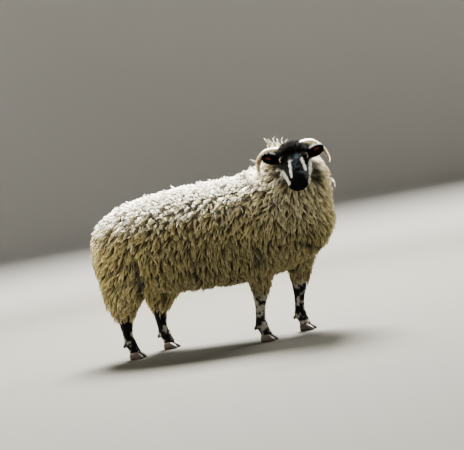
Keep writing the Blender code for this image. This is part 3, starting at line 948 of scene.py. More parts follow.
SKIN_HAIR = tinted_material("short_hair", 0.62, 0.004, 0.25, 0.0022, 0.0012, gloss=0.05)
WOOL = tinted_material("wool", 0.85, 0.012, 0.06, sheen=0.15, gloss=0.25)
TUFT_HAIR = tinted_material("tuft_hair", 0.70, 0.006, 0.10, gloss=0.01)
HORN = tinted_material("horn", 0.42, 0.010, 0.10, 0.0030, 0.0005)
CLAW_HORN = tinted_material("claw_horn", 0.50, 0.008, 0.20, 0.0040, 0.0006)
print("materials", [material.name for material in (SKIN_HAIR, WOOL, TUFT_HAIR, HORN, CLAW_HORN)])


# %% Paint the skin
def give_tint(mesh, colours):
    """Stores one colour for every corner of the mesh."""
    layer = mesh.attributes.new("tint", "FLOAT_COLOR", "POINT")
    full = np.concatenate([colours, np.ones((len(colours), 1))], axis=1)
    layer.data.foreach_set("color", full.astype(np.float32).ravel())


skin.data.materials.clear()
skin.data.materials.append(SKIN_HAIR)
skin_points = points_of(skin.data)
skin_normals = points_of(skin.data, "normal")
give_tint(skin.data, short_hair_colour(skin_points, skin_normals))
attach(skin, "root")
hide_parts(*FLESH)
print("skin painted at", len(skin_points), "points")

# %% [markdown]
# ## Horns
#
# A ewe's horns are pale, flattened cones that leave the crown sideways, curl back round the ears and come to
# a point below them. Each year of growth leaves rings, close together at the root. The horn is a loft along
# its curve whose radius swells and pinches at every ring.

# %% Routes and rings of the horns
HORN_ROUTES = {  # forward, outward, up from the eyes on the level, radius
    "left": (
        (-0.024, 0.008, 0.022, 0.0160),
        (-0.034, 0.020, 0.040, 0.0176),
        (-0.048, 0.043, 0.053, 0.0181),
        (-0.074, 0.080, 0.053, 0.0163),
        (-0.100, 0.112, 0.033, 0.0135),
        (-0.106, 0.134, 0.002, 0.0100),
        (-0.088, 0.143, -0.026, 0.0064),
        (-0.066, 0.140, -0.040, 0.0020),
    ),
    "right": (
        (-0.024, 0.010, 0.018, 0.0160),
        (-0.034, 0.022, 0.036, 0.0176),
        (-0.048, 0.052, 0.043, 0.0181),
        (-0.074, 0.096, 0.045, 0.0163),
        (-0.100, 0.130, 0.027, 0.0135),
        (-0.104, 0.146, -0.006, 0.0104),
        (-0.084, 0.143, -0.034, 0.0070),
        (-0.056, 0.124, -0.042, 0.0040),
        (-0.036, 0.108, -0.034, 0.0016),
    ),
}
STRAW = np.array((0.68, 0.575, 0.31))
RING_BROWN = np.array((0.17, 0.10, 0.045))


def growth_rings(along, total):
    """How far each place along the horn swells: close rings at the root, wider ones outwards."""
    phase = (along / total) ** 0.85 * 22.0
    wave = 0.5 + 0.5 * np.cos(phase * 2 * np.pi)
    year = 0.5 + 0.5 * np.cos(phase * 2 * np.pi / 5.5 + 0.6)
    return wave**1.5 * 0.6 + year**6 * 0.9


def keeled(cosine, sine, index):
    """A round section with a slight keel."""
    keel = 1.0 + 0.05 * math.cos(3 * math.atan2(sine, cosine) + 0.5)
    return cosine * keel, sine * keel


def horn_line(side, out):
    """Middle points, radii and distances from the root, through the route's stations."""
    route = catmull(HORN_ROUTES[side], 22)
    centres = moved(HEAD_LEVEL, route[:, :3] * (1.0, out, 1.0))
    along = np.concatenate([[0.0], np.cumsum(np.linalg.norm(np.diff(centres, axis=0), axis=1))])
    return centres, route[:, 3], along


print("rings from root to tip", growth_rings(np.linspace(0, 1, 5), 1.0).round(2))


# %% Horns
def horn_shade(horn, out, centres, along, fade):
    """How brown each point is: grooves, root, streaks, tip, and painted shade inside the curl."""
    spots = points_of(horn.data)
    tree = KDTree(len(centres))
    for index, centre in enumerate(centres):
        tree.insert(centre, index)
    tree.balance()
    place = np.array([tree.find(spot)[1] for spot in spots])
    groove = 1.0 - smoothstep(0.15, 0.75, growth_rings(along[place], along[-1]))
    shade = groove * 0.55 * fade[place] + 0.25 * cloud(spots, 0.012, 11)
    shade += 0.45 * smoothstep(0.045, 0.0, along[place])
    streak = cloud(np.stack([along[place] * 0.12, spots[:, 1], spots[:, 2]], axis=1), 0.004, 12)
    outer_half = smoothstep(along[-1] * 0.35, along[-1] * 0.8, along[place])
    shade += 0.75 * smoothstep(0.50, 0.80, streak) * outer_half
    shade += 0.30 * smoothstep(along[-1] * 0.60, along[-1], along[place])
    # Painted shade: the side of the horn that faces into its curl is browner.
    curl_middle = moved(HEAD_LEVEL, [(-0.070, out * 0.085, -0.005)])
    inner = (points_of(horn.data, "normal") * unit(curl_middle - spots)).sum(axis=1)
    shade += 0.50 * smoothstep(0.1, 0.8, inner)
    return np.clip(shade, 0, 1)


for side, out in SIDES.items():
    centres, radii, along = horn_line(side, out)
    fade = smoothstep(along[-1], along[-1] * 0.70, along)
    swell = 1.0 + 0.13 * (growth_rings(along, along[-1]) - 0.5) * fade
    radii = radii * swell
    stations = [(*centre, radius, radius * 0.86) for centre, radius in zip(centres, radii)]
    bm = loft(stations, 26, keeled, HEAD_LEVEL.to_3x3() @ Vector((1, 0, 0.3)))
    horn = from_bmesh(f"ringed_horn_{side}", bm, HORN)
    brown = horn_shade(horn, out, centres, along, fade)
    give_tint(horn.data, mix(STRAW, RING_BROWN, brown[:, None]))
    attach(horn, "root")
    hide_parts(f"horn_{side}")
    print(f"horn {side}", round(float(along[-1]), 3), "m long")

# %% [markdown]
# ## Eyes
#
# A sheep's iris is amber, with a pupil that is a wide slot lying level. The eyeball is a fine sphere that
# carries its own coordinates as an attribute, and the shader draws pupil, iris and rim in them, under a wet
# clear coat.

# %% Nodes for the eye
def maths(tree, operation, first, second=0.0):
    """One sum on two values, each a number or the output of another node."""
    node = tree.nodes.new("ShaderNodeMath")
    node.operation = operation
    for socket, value in zip(node.inputs, (first, second)):
        if isinstance(value, (int, float)):
            socket.default_value = value
        else:
            tree.links.new(value, socket)
    return node.outputs["Value"]


def slope(tree, value, low, high):
    node = tree.nodes.new("ShaderNodeMapRange")
    node.interpolation_type = "SMOOTHSTEP"
    node.inputs["From Min"].default_value = low
    node.inputs["From Max"].default_value = high
    tree.links.new(value, node.inputs["Value"])
    return node.outputs["Result"]


def layered(tree, under, over, share):
    """One colour laid over another, each given as numbers or as the output of another node."""
    node = tree.nodes.new("ShaderNodeMix")
    node.data_type = "RGBA"
    tree.links.new(share, node.inputs["Factor"])
    for socket, value in ((node.inputs[6], under), (node.inputs[7], over)):
        if isinstance(value, tuple):
            socket.default_value = (*value, 1.0)
        else:
            tree.links.new(value, socket)
    return node.outputs[2]


print("nodes for sums, slopes and layers ready")

# %% Material of the eye
IRIS_AMBER, IRIS_BROWN, IRIS_EDGE = (0.40, 0.21, 0.04), (0.18, 0.075, 0.015), (0.10, 0.04, 0.01)
IRIS_RIM, EYE_WHITE, PUPIL_BLACK = (0.012, 0.010, 0.010), (0.30, 0.26, 0.22), (0.004, 0.004, 0.006)
PUPIL_HALF_LONG, PUPIL_HALF_HIGH = 0.46, 0.19  # in radii of the eyeball


def eye_material():
    material = bpy.data.materials.new("eye_amber")
    material.use_nodes = True
    tree = material.node_tree
    shader = tree.nodes["Principled BSDF"]
    shader.inputs["Roughness"].default_value = 0.15
    shader.inputs["Coat Weight"].default_value = 1.0
    shader.inputs["Coat Roughness"].default_value = 0.03
    gaze = tree.nodes.new("ShaderNodeAttribute")
    gaze.attribute_name = "gaze"
    parts = tree.nodes.new("ShaderNodeSeparateXYZ")
    tree.links.new(gaze.outputs["Vector"], parts.inputs["Vector"])
    x, y = parts.outputs["X"], parts.outputs["Y"]
    long_way = maths(tree, "ABSOLUTE", maths(tree, "DIVIDE", x, PUPIL_HALF_LONG))
    high_way = maths(tree, "ABSOLUTE", maths(tree, "DIVIDE", y, PUPIL_HALF_HIGH))
    pupil = maths(tree, "ADD", maths(tree, "POWER", long_way, 3.0), maths(tree, "POWER", high_way, 3.0))
    squares = maths(tree, "ADD", maths(tree, "POWER", x, 2.0), maths(tree, "POWER", y, 2.0))
    radius = maths(tree, "POWER", squares, 0.5)
    streaks = tree.nodes.new("ShaderNodeTexNoise")
    streaks.inputs["Scale"].default_value = 7.0
    tree.links.new(gaze.outputs["Vector"], streaks.inputs["Vector"])
    whole = layered(tree, IRIS_AMBER, IRIS_BROWN, slope(tree, streaks.outputs["Fac"], 0.35, 0.70))
    whole = layered(tree, whole, IRIS_EDGE, slope(tree, radius, 0.62, 0.82))
    whole = layered(tree, whole, IRIS_RIM, slope(tree, radius, 0.82, 0.86))
    whole = layered(tree, whole, EYE_WHITE, slope(tree, radius, 0.90, 0.99))
    whole = layered(tree, PUPIL_BLACK, whole, slope(tree, pupil, 0.85, 1.15))
    tree.links.new(whole, shader.inputs["Base Color"])
    return material


EYE_AMBER = eye_material()
print("eye material of", len(EYE_AMBER.node_tree.nodes), "nodes")

# %% Eyeballs
CORNEA_FROM = 0.62  # share of the ball's radius where the cornea begins to bulge
CORNEA_BULGE = 0.0010

for side, out in SIDES.items():
    centre, axis, ahead, up = eye_frame(out)
    level_ahead = np.array(DROP.inverted().to_3x3() @ Vector((1, 0, 0)))
    ahead = unit(ahead * 0.35 + unit(level_ahead - axis * (level_ahead @ axis)) * 0.65)
    up = np.cross(axis, ahead)
    bm = bmesh.new()
    bmesh.ops.create_uvsphere(bm, u_segments=64, v_segments=48, radius=EYE_RADIUS)
    eye = from_bmesh(f"eyeball_{side}", bm, EYE_AMBER)
    ball = points_of(eye.data)
    layer = eye.data.attributes.new("gaze", "FLOAT_VECTOR", "POINT")
    layer.data.foreach_set("vector", (ball / EYE_RADIUS).astype(np.float32).ravel())
    cornea = ball[:, 2] > EYE_RADIUS * CORNEA_FROM
    ball[cornea, 2] += CORNEA_BULGE * smoothstep(CORNEA_FROM, 1.0, ball[cornea, 2] / EYE_RADIUS)
    placed = centre + ball[:, :1] * ahead + ball[:, 1:2] * up + ball[:, 2:] * axis
    move_points(eye.data, moved(HEAD, placed))
    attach(eye, "root")
    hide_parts(f"eye_{side}")
print("eyes", len(eye.data.polygons), "faces each")

# %% [markdown]
# ## Hooves
#
# A sheep stands on two claws to each foot, flat under and sloping in front, with two small dew claws behind
# the fetlock. A claw could be carved from a block, but it is easier to loft it along its length through
# squarish sections that all stand on the floor. A dew claw is a small tilted egg.

# %% Shapes of the claws
CLAW_HEIGHT = 0.031
CLAW_HALF_WIDTH = 0.0128 * 0.98  # just inside the frame's claws, which are 0.0128
CLAW_BROWN = np.array((0.060, 0.045, 0.034))
CLAW_BACK = 0.0108  # the sections are counted from this far behind the middle of the claw
CLAW_SPLAY = math.radians(5.0)
CLAW_SECTIONS = (  # forward, half width, height
    (-0.0185, 0.62, 0.74),
    (-0.0120, 0.95, 0.98),
    (0.0020, 1.00, 1.00),
    (0.0140, 0.99, 0.98),
    (0.0270, 0.86, 0.70),
    (0.0370, 0.60, 0.44),
    (0.0405, 0.40, 0.32),
)
DEW_RADII = (0.0068, 0.0062, 0.0105, 1.0)
DEW_TILT = math.radians(28.0)


def claw_form(middle, out):
    """A claw over a place on the floor, its toe turned outwards."""
    x, y = middle.x - CLAW_BACK, middle.y
    bm = bmesh.new()
    rings = []
    for ahead, width, height in catmull(CLAW_SECTIONS, 3):

        def place(cosine, sine):
            wide = math.copysign(abs(cosine) ** 0.55, cosine) * (1.0 - 0.16 * max(0.0, sine))
            high = math.copysign(abs(sine) ** 0.50, sine)
            tall = CLAW_HEIGHT * height * (0.5 + 0.5 * high)
            return Vector((x + ahead, y + CLAW_HALF_WIDTH * width * wide, tall))

        rings.append(ring_of(bm, 20, place))
    bridged(bm, rings)
    turn = Matrix.Rotation(out * CLAW_SPLAY, 3, "Z")
    bmesh.ops.rotate(bm, verts=bm.verts, cent=(x - 0.010, y, 0.0), matrix=turn)
    return bm


def dew_form(middle):
    """A dew claw about its middle."""
    bm = bmesh.new()
    bmesh.ops.create_uvsphere(bm, u_segments=16, v_segments=10, radius=1.0)
    shape = Matrix.Translation(middle) @ Matrix.Rotation(DEW_TILT, 4, "Y")
    shape = shape @ Matrix.Diagonal(DEW_RADII)
    bmesh.ops.transform(bm, matrix=shape, verts=bm.verts)
    return bm


print("a claw is", round(CLAW_SECTIONS[-1][0] - CLAW_SECTIONS[0][0], 3), "m long")

# %% Sixteen claws
TOES = [(end, side, half) for end in ("front", "hind") for side in SIDES for half in ("inner", "outer")]

for end, side, half in TOES:
    toe = f"{end}_{side}_{half}"
    out = SIDES[side] * (1.0 if half == "outer" else -1.0)
    claw = from_bmesh(f"hoof_{toe}", claw_form(middle_of(f"claw_{toe}"), out), CLAW_HORN)
    spots = points_of(claw.data)
    pale = smoothstep(0.022, 0.031, spots[:, 2]) * 0.6 + cloud(spots, 0.010, 21) * 0.5
    give_tint(claw.data, CLAW_BROWN * (0.55 + pale)[:, None])
    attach(claw, "root")
    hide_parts(f"claw_{toe}")
    small = from_bmesh(f"dew_{toe}", dew_form(middle_of(f"dewclaw_{toe}")), CLAW_HORN)
    give_tint(small.data, np.tile(CLAW_BROWN * 0.8, (len(small.data.vertices), 1)))
    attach(small, "root")
    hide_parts(f"dewclaw_{toe}")
print(2 * len(TOES), "claws")

# %% [markdown]
# ## A patch for every tuft
#
# A baked colour needs a flat map. Each lock gets a patch a few thousandths across at its root's place on an
# unwrap of the skin, so neighbours on the body are neighbours on the map. There are so many locks that their
# patches overlap, and a baked lock may take some of a neighbour's colour. The unwrap is made on a lighter
# copy of the skin, and a root looks up the nearest face.

# %% Unwrap of the skin
PATCH = 0.003
CHART_SHARE = 0.06  # of the skin's faces
chart = add_object("chart", skin.data.copy())
fewer = chart.modifiers.new("fewer", "DECIMATE")
fewer.ratio = CHART_SHARE
settled(chart)
bpy.ops.object.select_all(action="DESELECT")
chart.select_set(True)
bpy.context.view_layer.objects.active = chart
bpy.ops.object.mode_set(mode="EDIT")
bpy.ops.mesh.select_all(action="SELECT")
bpy.ops.uv.smart_project(angle_limit=math.radians(60.0), island_margin=0.004)
bpy.ops.object.mode_set(mode="OBJECT")
chart_tree = tree_of(chart)
chart_faces = []
uv = chart.data.uv_layers.active.data
corner_of = chart.data.loops
for face in chart.data.polygons:
    first_three = face.loop_indices[:3]
    corners = [np.array(chart.data.vertices[corner_of[i].vertex_index].co) for i in first_three]
    flats = [np.array(uv[i].uv) for i in first_three]
    chart_faces.append((corners, flats))
bpy.data.objects.remove(chart)
print("unwrap of", len(chart_faces), "faces")


# %% Places on the unwrap
def map_places(points):
    """The unwrap's coordinates of each root."""
    places = np.empty((len(points), 2))
    for row, point in enumerate(points):
        spot, _, index, _ = chart_tree.find_nearest(point)
        (a, b, c), (ua, ub, uc) = chart_faces[index]
        ab, ac, ap = b - a, c - a, np.array(spot) - a
        dot = ab @ ab, ab @ ac, ac @ ac, ap @ ab, ap @ ac
        below = max(dot[0] * dot[2] - dot[1] ** 2, 1e-18)
        second = (dot[2] * dot[3] - dot[1] * dot[4]) / below
        third = (dot[0] * dot[4] - dot[1] * dot[3]) / below
        places[row] = ua * (1 - second - third) + ub * second + uc * third
    return np.clip(places, PATCH, 1 - PATCH)


print("the muzzle lies at", map_places([HEAD @ Vector((0.133, 0.0, -0.025))]).round(3)[0])

# %% [markdown]
# ## One lock, many locks
#
# A lock is a three-sided spike: rings of three points along its path, closed at the root and drawn to a
# point. Thousands of them differ only in path, width and tint, so they are made together as arrays and
# joined in one mesh. The faces of one spike are listed first, with their places on its patch of the map.

# %% Faces of one spike
SIDES_OF_LOCK = 3


def spike_faces(rings):
    """Corners of a spike's faces one after another, their places on a patch, and the faces' sizes."""
    corners, u, v, sizes = [], [], [], []

    def face(*rows):
        sizes.append(len(rows))
        for corner, along_u, along_v in rows:
            corners.append(corner)
            u.append(along_u)
            v.append(along_v)

    for ring in range(rings - 1):
        here, beyond = ring * SIDES_OF_LOCK, (ring + 1) * SIDES_OF_LOCK
        for side in range(SIDES_OF_LOCK):
            after = (side + 1) % SIDES_OF_LOCK
            face(
                (here + side, side, ring),
                (here + after, side + 1, ring),
                (beyond + after, side + 1, ring + 1),
                (beyond + side, side, ring + 1),
            )
    face((0, 0, 0), (2, 2, 0), (1, 1, 0))
    last = (rings - 1) * SIDES_OF_LOCK
    for side in range(SIDES_OF_LOCK):
        after = (side + 1) % SIDES_OF_LOCK
        face(
            (last + side, side, rings - 1),
            (last + after, side + 1, rings - 1),
            (rings * SIDES_OF_LOCK, side + 0.5, rings),
        )
    flat_u = np.array(u, float) / SIDES_OF_LOCK - 0.5
    flat_v = np.array(v, float) / rings - 0.5
    return np.array(corners), flat_u, flat_v, np.array(sizes)


print("a spike of six rings has", len(spike_faces(6)[3]), "faces")

# %% Points of the spikes
LOCK_FLATNESS = 0.62


def spike_points(paths, widths, facing, profile):
    """Rings of three round each path and its tip: an array of (locks, points, 3)."""
    rings = paths.shape[1] - 1
    along = np.empty_like(paths)
    along[:, 1:-1] = paths[:, 2:] - paths[:, :-2]
    along[:, 0] = paths[:, 1] - paths[:, 0]
    along[:, -1] = paths[:, -1] - paths[:, -2]
    along = unit(along)
    across = unit(np.cross(facing, along))
    rise = np.cross(along, across)
    swell = np.array(profile)[None, :rings, None, None]
    turn = np.radians([90.0, 210.0, 330.0])
    spread = across[:, :rings, None] * np.cos(turn)[None, None, :, None]
    spread = spread + rise[:, :rings, None] * (LOCK_FLATNESS * np.sin(turn))[None, None, :, None]
    ring_points = paths[:, :rings, None] + spread * swell * widths[:, None, None, None]
    ring_points = ring_points.reshape(len(paths), rings * SIDES_OF_LOCK, 3)
    return np.concatenate([ring_points, paths[:, -1:]], axis=1)


print("three sides, each spike", LOCK_FLATNESS, "as thick as it is wide")


# %% Joined locks
def locks_object(name, paths, widths, facing, tints, roots, material, profile):
    """A mesh of closed spikes. paths is (locks, stations, 3), tints is (locks, stations, 3)."""
    count, stations = paths.shape[:2]
    rings = stations - 1
    points = spike_points(paths, widths, facing, profile)
    colours = np.concatenate([np.repeat(tints[:, :rings], SIDES_OF_LOCK, axis=1), tints[:, -1:]], axis=1)
    corners, flat_u, flat_v, sizes = spike_faces(rings)
    per_lock = points.shape[1]
    all_corners = (corners[None, :] + np.arange(count)[:, None] * per_lock).ravel()
    all_sizes = np.tile(sizes, count)
    starts = np.concatenate([[0], np.cumsum(all_sizes)[:-1]])
    mesh = bpy.data.meshes.new(name)
    mesh.vertices.add(count * per_lock)
    mesh.loops.add(len(all_corners))
    mesh.polygons.add(len(all_sizes))
    mesh.vertices.foreach_set("co", points.astype(np.float32).ravel())
    mesh.loops.foreach_set("vertex_index", all_corners.astype(np.int32))
    mesh.polygons.foreach_set("loop_start", starts.astype(np.int32))
    mesh.update(calc_edges=True)
    give_tint(mesh, colours.reshape(-1, 3))
    places = map_places(roots)
    layer = mesh.uv_layers.new(name="OFBake")
    flat = np.stack([places[:, :1] + flat_u * PATCH, places[:, 1:] + flat_v * PATCH], axis=2)
    layer.data.foreach_set("uv", flat.astype(np.float32).ravel())
    mesh.shade_smooth()
    obj = add_object(name, mesh, material)
    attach(obj, "root")
    triangles = int((all_sizes - 2).sum())
    print(name, count, "locks", triangles, "triangles")
    return triangles


coat_triangles = 0
print("coat so far", coat_triangles, "triangles")

# %% [markdown]
# ## The lie of the wool
#
# Wool hangs. On the flanks the locks fall straight down and lean a little backwards, on the rump and thigh
# they sweep back, and round the neck they spread away from the face. Over the back they part along the
# spine into short round clumps. This is one field of directions, asked at any place on the outer form.

# %% Direction field
FACE_CENTRE = np.array(HEAD @ Vector((0.02, 0.0, -0.03)))
MIDLINE = 0.0146  # her spine stands this far to her left of the frame's middle


def lie_of(points, normals):
    """Which way the wool lies at each place, along the surface."""
    x, y, z = points.T
    lean = 0.10 + 0.60 * smoothstep(-0.16, -0.42, x) + 0.40 * (cloud(points, 0.16, 31) - 0.5)
    way = np.stack([-lean, np.zeros(len(x)), -np.ones(len(x))], axis=1)
    away = points - FACE_CENTRE
    reach = np.linalg.norm(away, axis=1)
    near = (1.0 - smoothstep(0.10, 0.42, reach))[:, None]
    way += unit(away) * near * 1.5
    top = smoothstep(0.35, 0.85, normals[:, 2])
    outward = np.sign(y - MIDLINE + 0.001)
    way[:, 1] += outward * top * 0.9
    way[:, 0] -= top * 0.10
    drift = np.stack([cloud(points, 0.06, 32 + k) - 0.5 for k in range(3)], axis=1)
    way += drift * (0.8 + 1.1 * top)[:, None]
    way -= normals * (way * normals).sum(axis=1, keepdims=True)
    return unit(way)


print("wool of a flank lies", lie_of(np.array([[0.0, -0.2, 0.4]]), np.array([[0.0, -1.0, 0.0]])).round(2)[0])

# %% [markdown]
# ## Where wool and hair grow
#
# Roots are places on the skin picked at random, more of them where the coat is thicker. The fleece covers
# all but the face, the ears and the legs below its ragged hems, and it is thickest in the ruff. Random
# places would leave some staples crowded, so those too close to a neighbour can be left out.

# %% Random places on the skin
rng = np.random.default_rng(7)
skin_tree = tree_of(skin)


def face_table(mesh):
    """Corners, outward directions and areas of a mesh's triangles."""
    mesh.calc_loop_triangles()
    corners = np.empty(len(mesh.loop_triangles) * 3, np.int32)
    mesh.loop_triangles.foreach_get("vertices", corners)
    corners = points_of(mesh)[corners].reshape(-1, 3, 3)
    cross = np.cross(corners[:, 1] - corners[:, 0], corners[:, 2] - corners[:, 0])
    size = np.linalg.norm(cross, axis=1)
    return corners, unit(cross), size / 2


skin_corners, skin_face_normals, skin_areas = face_table(skin.data)
middles = skin_corners.mean(axis=1)


def scattered(count, weights):
    """Random places on the skin, more of them where the weight is larger."""
    chance = skin_areas * weights
    chosen = rng.choice(len(chance), count, p=chance / chance.sum())
    a, b = rng.random((2, count, 1))
    a, b = np.where(a + b > 1, 1 - a, a), np.where(a + b > 1, 1 - b, b)
    corners = skin_corners[chosen]
    places = corners[:, 0] + (corners[:, 1] - corners[:, 0]) * a + (corners[:, 2] - corners[:, 0]) * b
    return places, skin_face_normals[chosen]


print("skin", round(float(skin_areas.sum()), 3), "m2")


# %% Spacing
def crowded(place, gap, others):
    """True if one of the others stands nearer than the gap."""
    for other in others:
        d = other - place
        if d[0] * d[0] + d[1] * d[1] + d[2] * d[2] < gap * gap:
            return True
    return False


def spaced(places, gaps):
    """Keeps places that stand at least their own gap from those kept before."""
    cell = float(gaps.max())
    kept, grid = [], {}
    for index, place in enumerate(places):
        key = tuple((place // cell).astype(int))
        cells = ((key[0] + i - 1, key[1] + j - 1, key[2] + k - 1) for i, j, k in np.ndindex(3, 3, 3))
        if not any(crowded(place, gaps[index], grid[near]) for near in cells if near in grid):
            kept.append(index)
            grid.setdefault(key, []).append(place)
    return np.array(kept)


print("of three crowded places,", len(spaced(np.eye(3) * 0.01, np.full(3, 0.015))), "is kept")


# %% Where the fleece grows
def wool_share(points):
    """1 where the fleece grows, fading out at its hems."""
    ragged = (cloud(points, 0.03, 41) - 0.5) * 0.03
    hem = np.where(points[:, 0] > 0, FORE_HEM, HIND_HEM)
    share = smoothstep(-0.004, 0.010, points[:, 2] + ragged - hem)
    in_head = moved(HEAD.inverted(), points)
    on_head = touching(head_tree, points) | touching(ear_tree, points)
    behind = smoothstep(-0.060, -0.074, in_head[:, 0])
    return np.where(on_head, behind, share)


def near_face(points):
    """1 close to the face, where the ruff is thickest, fading out over the neck."""
    return 1.0 - smoothstep(0.11, 0.24, np.linalg.norm(points - FACE_CENTRE, axis=1))


wool_weights = wool_share(middles)
print("woolly skin", round(float((skin_areas * wool_weights).sum()), 3), "m2")

# %% [markdown]
# ## Partings
#
# A long fleece falls open where the body folds: behind the elbow, at the flank, along the stifle, beside
# the tail, and round the jaw where the ruff stands off. The locks sink there, and their colour is darkened
# with painted shade. Each parting is a line on the side view; a lock's share says how deep it sinks.

# %% Partings
FOLD_LINES = (  # depth, then stations (x, z) along the side
    (1.0, ((-0.304, 0.415), (-0.305, 0.340), (-0.314, 0.265), (-0.328, 0.215))),
    (0.6, ((-0.440, 0.362), (-0.370, 0.388), (-0.290, 0.412))),
    (0.6, ((-0.430, 0.305), (-0.350, 0.320), (-0.300, 0.333))),
    (0.7, ((-0.040, 0.425), (-0.040, 0.360), (-0.050, 0.300))),
    (0.75, ((0.238, 0.390), (0.245, 0.352), (0.222, 0.315))),
    (0.9, ((0.398, 0.374), (0.424, 0.357), (0.448, 0.335))),
)

PARTING_WIDTH = 0.012
TAIL_HEIGHTS = (0.330, 0.350, 0.415, 0.480, 0.540)
TAIL_HALVES = (0.034, 0.040, 0.050, 0.054, 0.054)  # half the tail's width at those heights


def beside_tail(points):
    """1 in the crease on either side of the tail."""
    half_tail = np.interp(points[:, 2], TAIL_HEIGHTS, TAIL_HALVES)
    gap = np.abs(points[:, 1] - MIDLINE) - half_tail
    behind = smoothstep(-0.500, -0.525, points[:, 0]) * smoothstep(0.570, 0.530, points[:, 2])
    return behind * np.exp(-((gap / 0.010) ** 2)) * (points[:, 2] > TAIL_HEIGHTS[0])


def fold_share(points):
    """1 in the bottom of a parting of the fleece, 0 away from all of them."""
    flat = np.stack([points[:, 0], points[:, 2], np.zeros(len(points))], axis=1)
    flat[:, 0] += (cloud(points, 0.05, 61) - 0.5) * 0.030
    flat[:, 1] += (cloud(points, 0.05, 62) - 0.5) * 0.020
    total = np.zeros(len(points))
    for deep, line in FOLD_LINES:
        gap = from_line(flat, [(x, z, 0.0) for x, z in line])
        total = np.maximum(total, deep * np.exp(-((gap / PARTING_WIDTH) ** 2)))
    return np.maximum(total, 0.8 * beside_tail(points))


print(len(FOLD_LINES), "partings on each side")

# %% Hollows of the ruff
HOLLOWS = (  # across and up from between the eyes, reach across and up, depth
    (0.080, -0.084, 0.022, 0.050, 1.0),
    (-0.056, -0.128, 0.013, 0.010, 0.9),
    (-0.116, -0.022, 0.018, 0.026, 0.75),
    (0.022, -0.158, 0.022, 0.006, 0.6),
)


def sunk_share(points, normals):
    """1 in a parting and in the shaded hollows of the ruff beside the jaw and inside the horn's curl."""
    facing = smoothstep(-0.2, 0.2, normals @ FACING)
    _, beside, above = moved(HEAD_LEVEL.inverted(), points).T
    total = fold_share(points)
    for across, up, wide, tall, deep in HOLLOWS:
        gap = ((beside - across) / wide) ** 2 + ((above - up) / tall) ** 2
        total = np.maximum(total, deep * np.exp(-(gap**2)) * facing)
    return total


print(len(HOLLOWS), "hollows in the ruff")

# %% [markdown]
# ## Fleece
#
# The fleece of a hill ewe hangs in staples: bundles of fine locks that rise from the skin, bend over and lie
# along the coat, drawn together at a pointed, slightly curled tip. Blender's own hair isn't made of closed
# meshes, so the staples are laid here one by one. They are spaced over the skin, and each is told where on
# the sheep it grows: on the back, in the ruff, on the poll, behind the ears or down a leg.

# %% Choosing the staples
STATIONS = 7
LOCKS = 36500
STAPLE_GAP = 0.0115
PLACES_TRIED = 56000

spots, _ = scattered(PLACES_TRIED, wool_weights)
spot_outer, spot_outer_normals = nearest_outer(spots)
top_share = smoothstep(0.45, 0.85, spot_outer_normals[:, 2]) * smoothstep(0.5, 0.6, spots[:, 2])
gaps = STAPLE_GAP - 0.0008 * top_share
gaps = gaps - 0.0015 * smoothstep(0.32, 0.20, spots[:, 2]) - 0.0022 * near_face(spots)
kept = spaced(spots, gaps)
staple_roots = spots[kept]
outer_spots, outer_normals = spot_outer[kept], spot_outer_normals[kept]
staples = len(kept)
print(staples, "staples")

# %% Where on the sheep each staple grows
depth = np.linalg.norm(outer_spots - staple_roots, axis=1)
top = smoothstep(0.50, 0.88, outer_normals[:, 2]) * smoothstep(0.5, 0.6, outer_spots[:, 2])
facing_up = outer_normals[:, 2] + rng.normal(0.0, 0.13, staples)
upper = smoothstep(0.16, 0.88, facing_up) * smoothstep(0.42, 0.57, outer_spots[:, 2])
shoulder_high = smoothstep(-0.05, 0.45, outer_normals[:, 2]) * smoothstep(0.40, 0.50, outer_spots[:, 2])
from_face = np.linalg.norm(outer_spots - FACE_CENTRE, axis=1)
ruff = 1.0 - smoothstep(0.12, 0.30, from_face)
low_leg = smoothstep(0.34, 0.18, outer_spots[:, 2])
beside, above = moved(HEAD_LEVEL.inverted(), outer_spots)[:, 1:].T
high = smoothstep(0.735, 0.775, outer_spots[:, 2])
poll = high * smoothstep(-0.012, -0.035, beside)
collar = smoothstep(-0.075, -0.110, beside) * smoothstep(-0.03, 0.02, above)
collar += 0.7 * smoothstep(0.085, 0.115, beside) * smoothstep(-0.05, 0.0, above)
collar = collar * smoothstep(0.36, 0.22, from_face)
print("on the back", int((top > 0.5).sum()), "in the ruff", int((ruff > 0.5).sum()))

# %% How far each staple lies over, stands off and swings aside
lay = 0.050 - 0.010 * shoulder_high - 0.022 * top + 0.004 * ruff - 0.014 * low_leg - 0.012 * poll
lay = lay * rng.uniform(0.65, 1.35, staples)
stand = rng.uniform(-0.007, 0.001, staples) + rng.uniform(-0.019, -0.004, staples) * top
stand -= 0.010 * (high - poll) + 0.014 * collar
stray = rng.random(staples) < 0.05 + 0.05 * top
stand += np.where(stray, rng.uniform(0.004, 0.010, staples) * (1 + 0.5 * top), 0.0)
swing = np.radians(rng.normal(0.0, 13.0, staples) * (1.0 + 1.0 * shoulder_high + 1.6 * top))
print("staples lie", round(float(lay.min()), 3), "to", round(float(lay.max()), 3), "m along the coat")

# %% Paths of the staples
SAG = 0.004  # the tips on the sides hang down by this much more

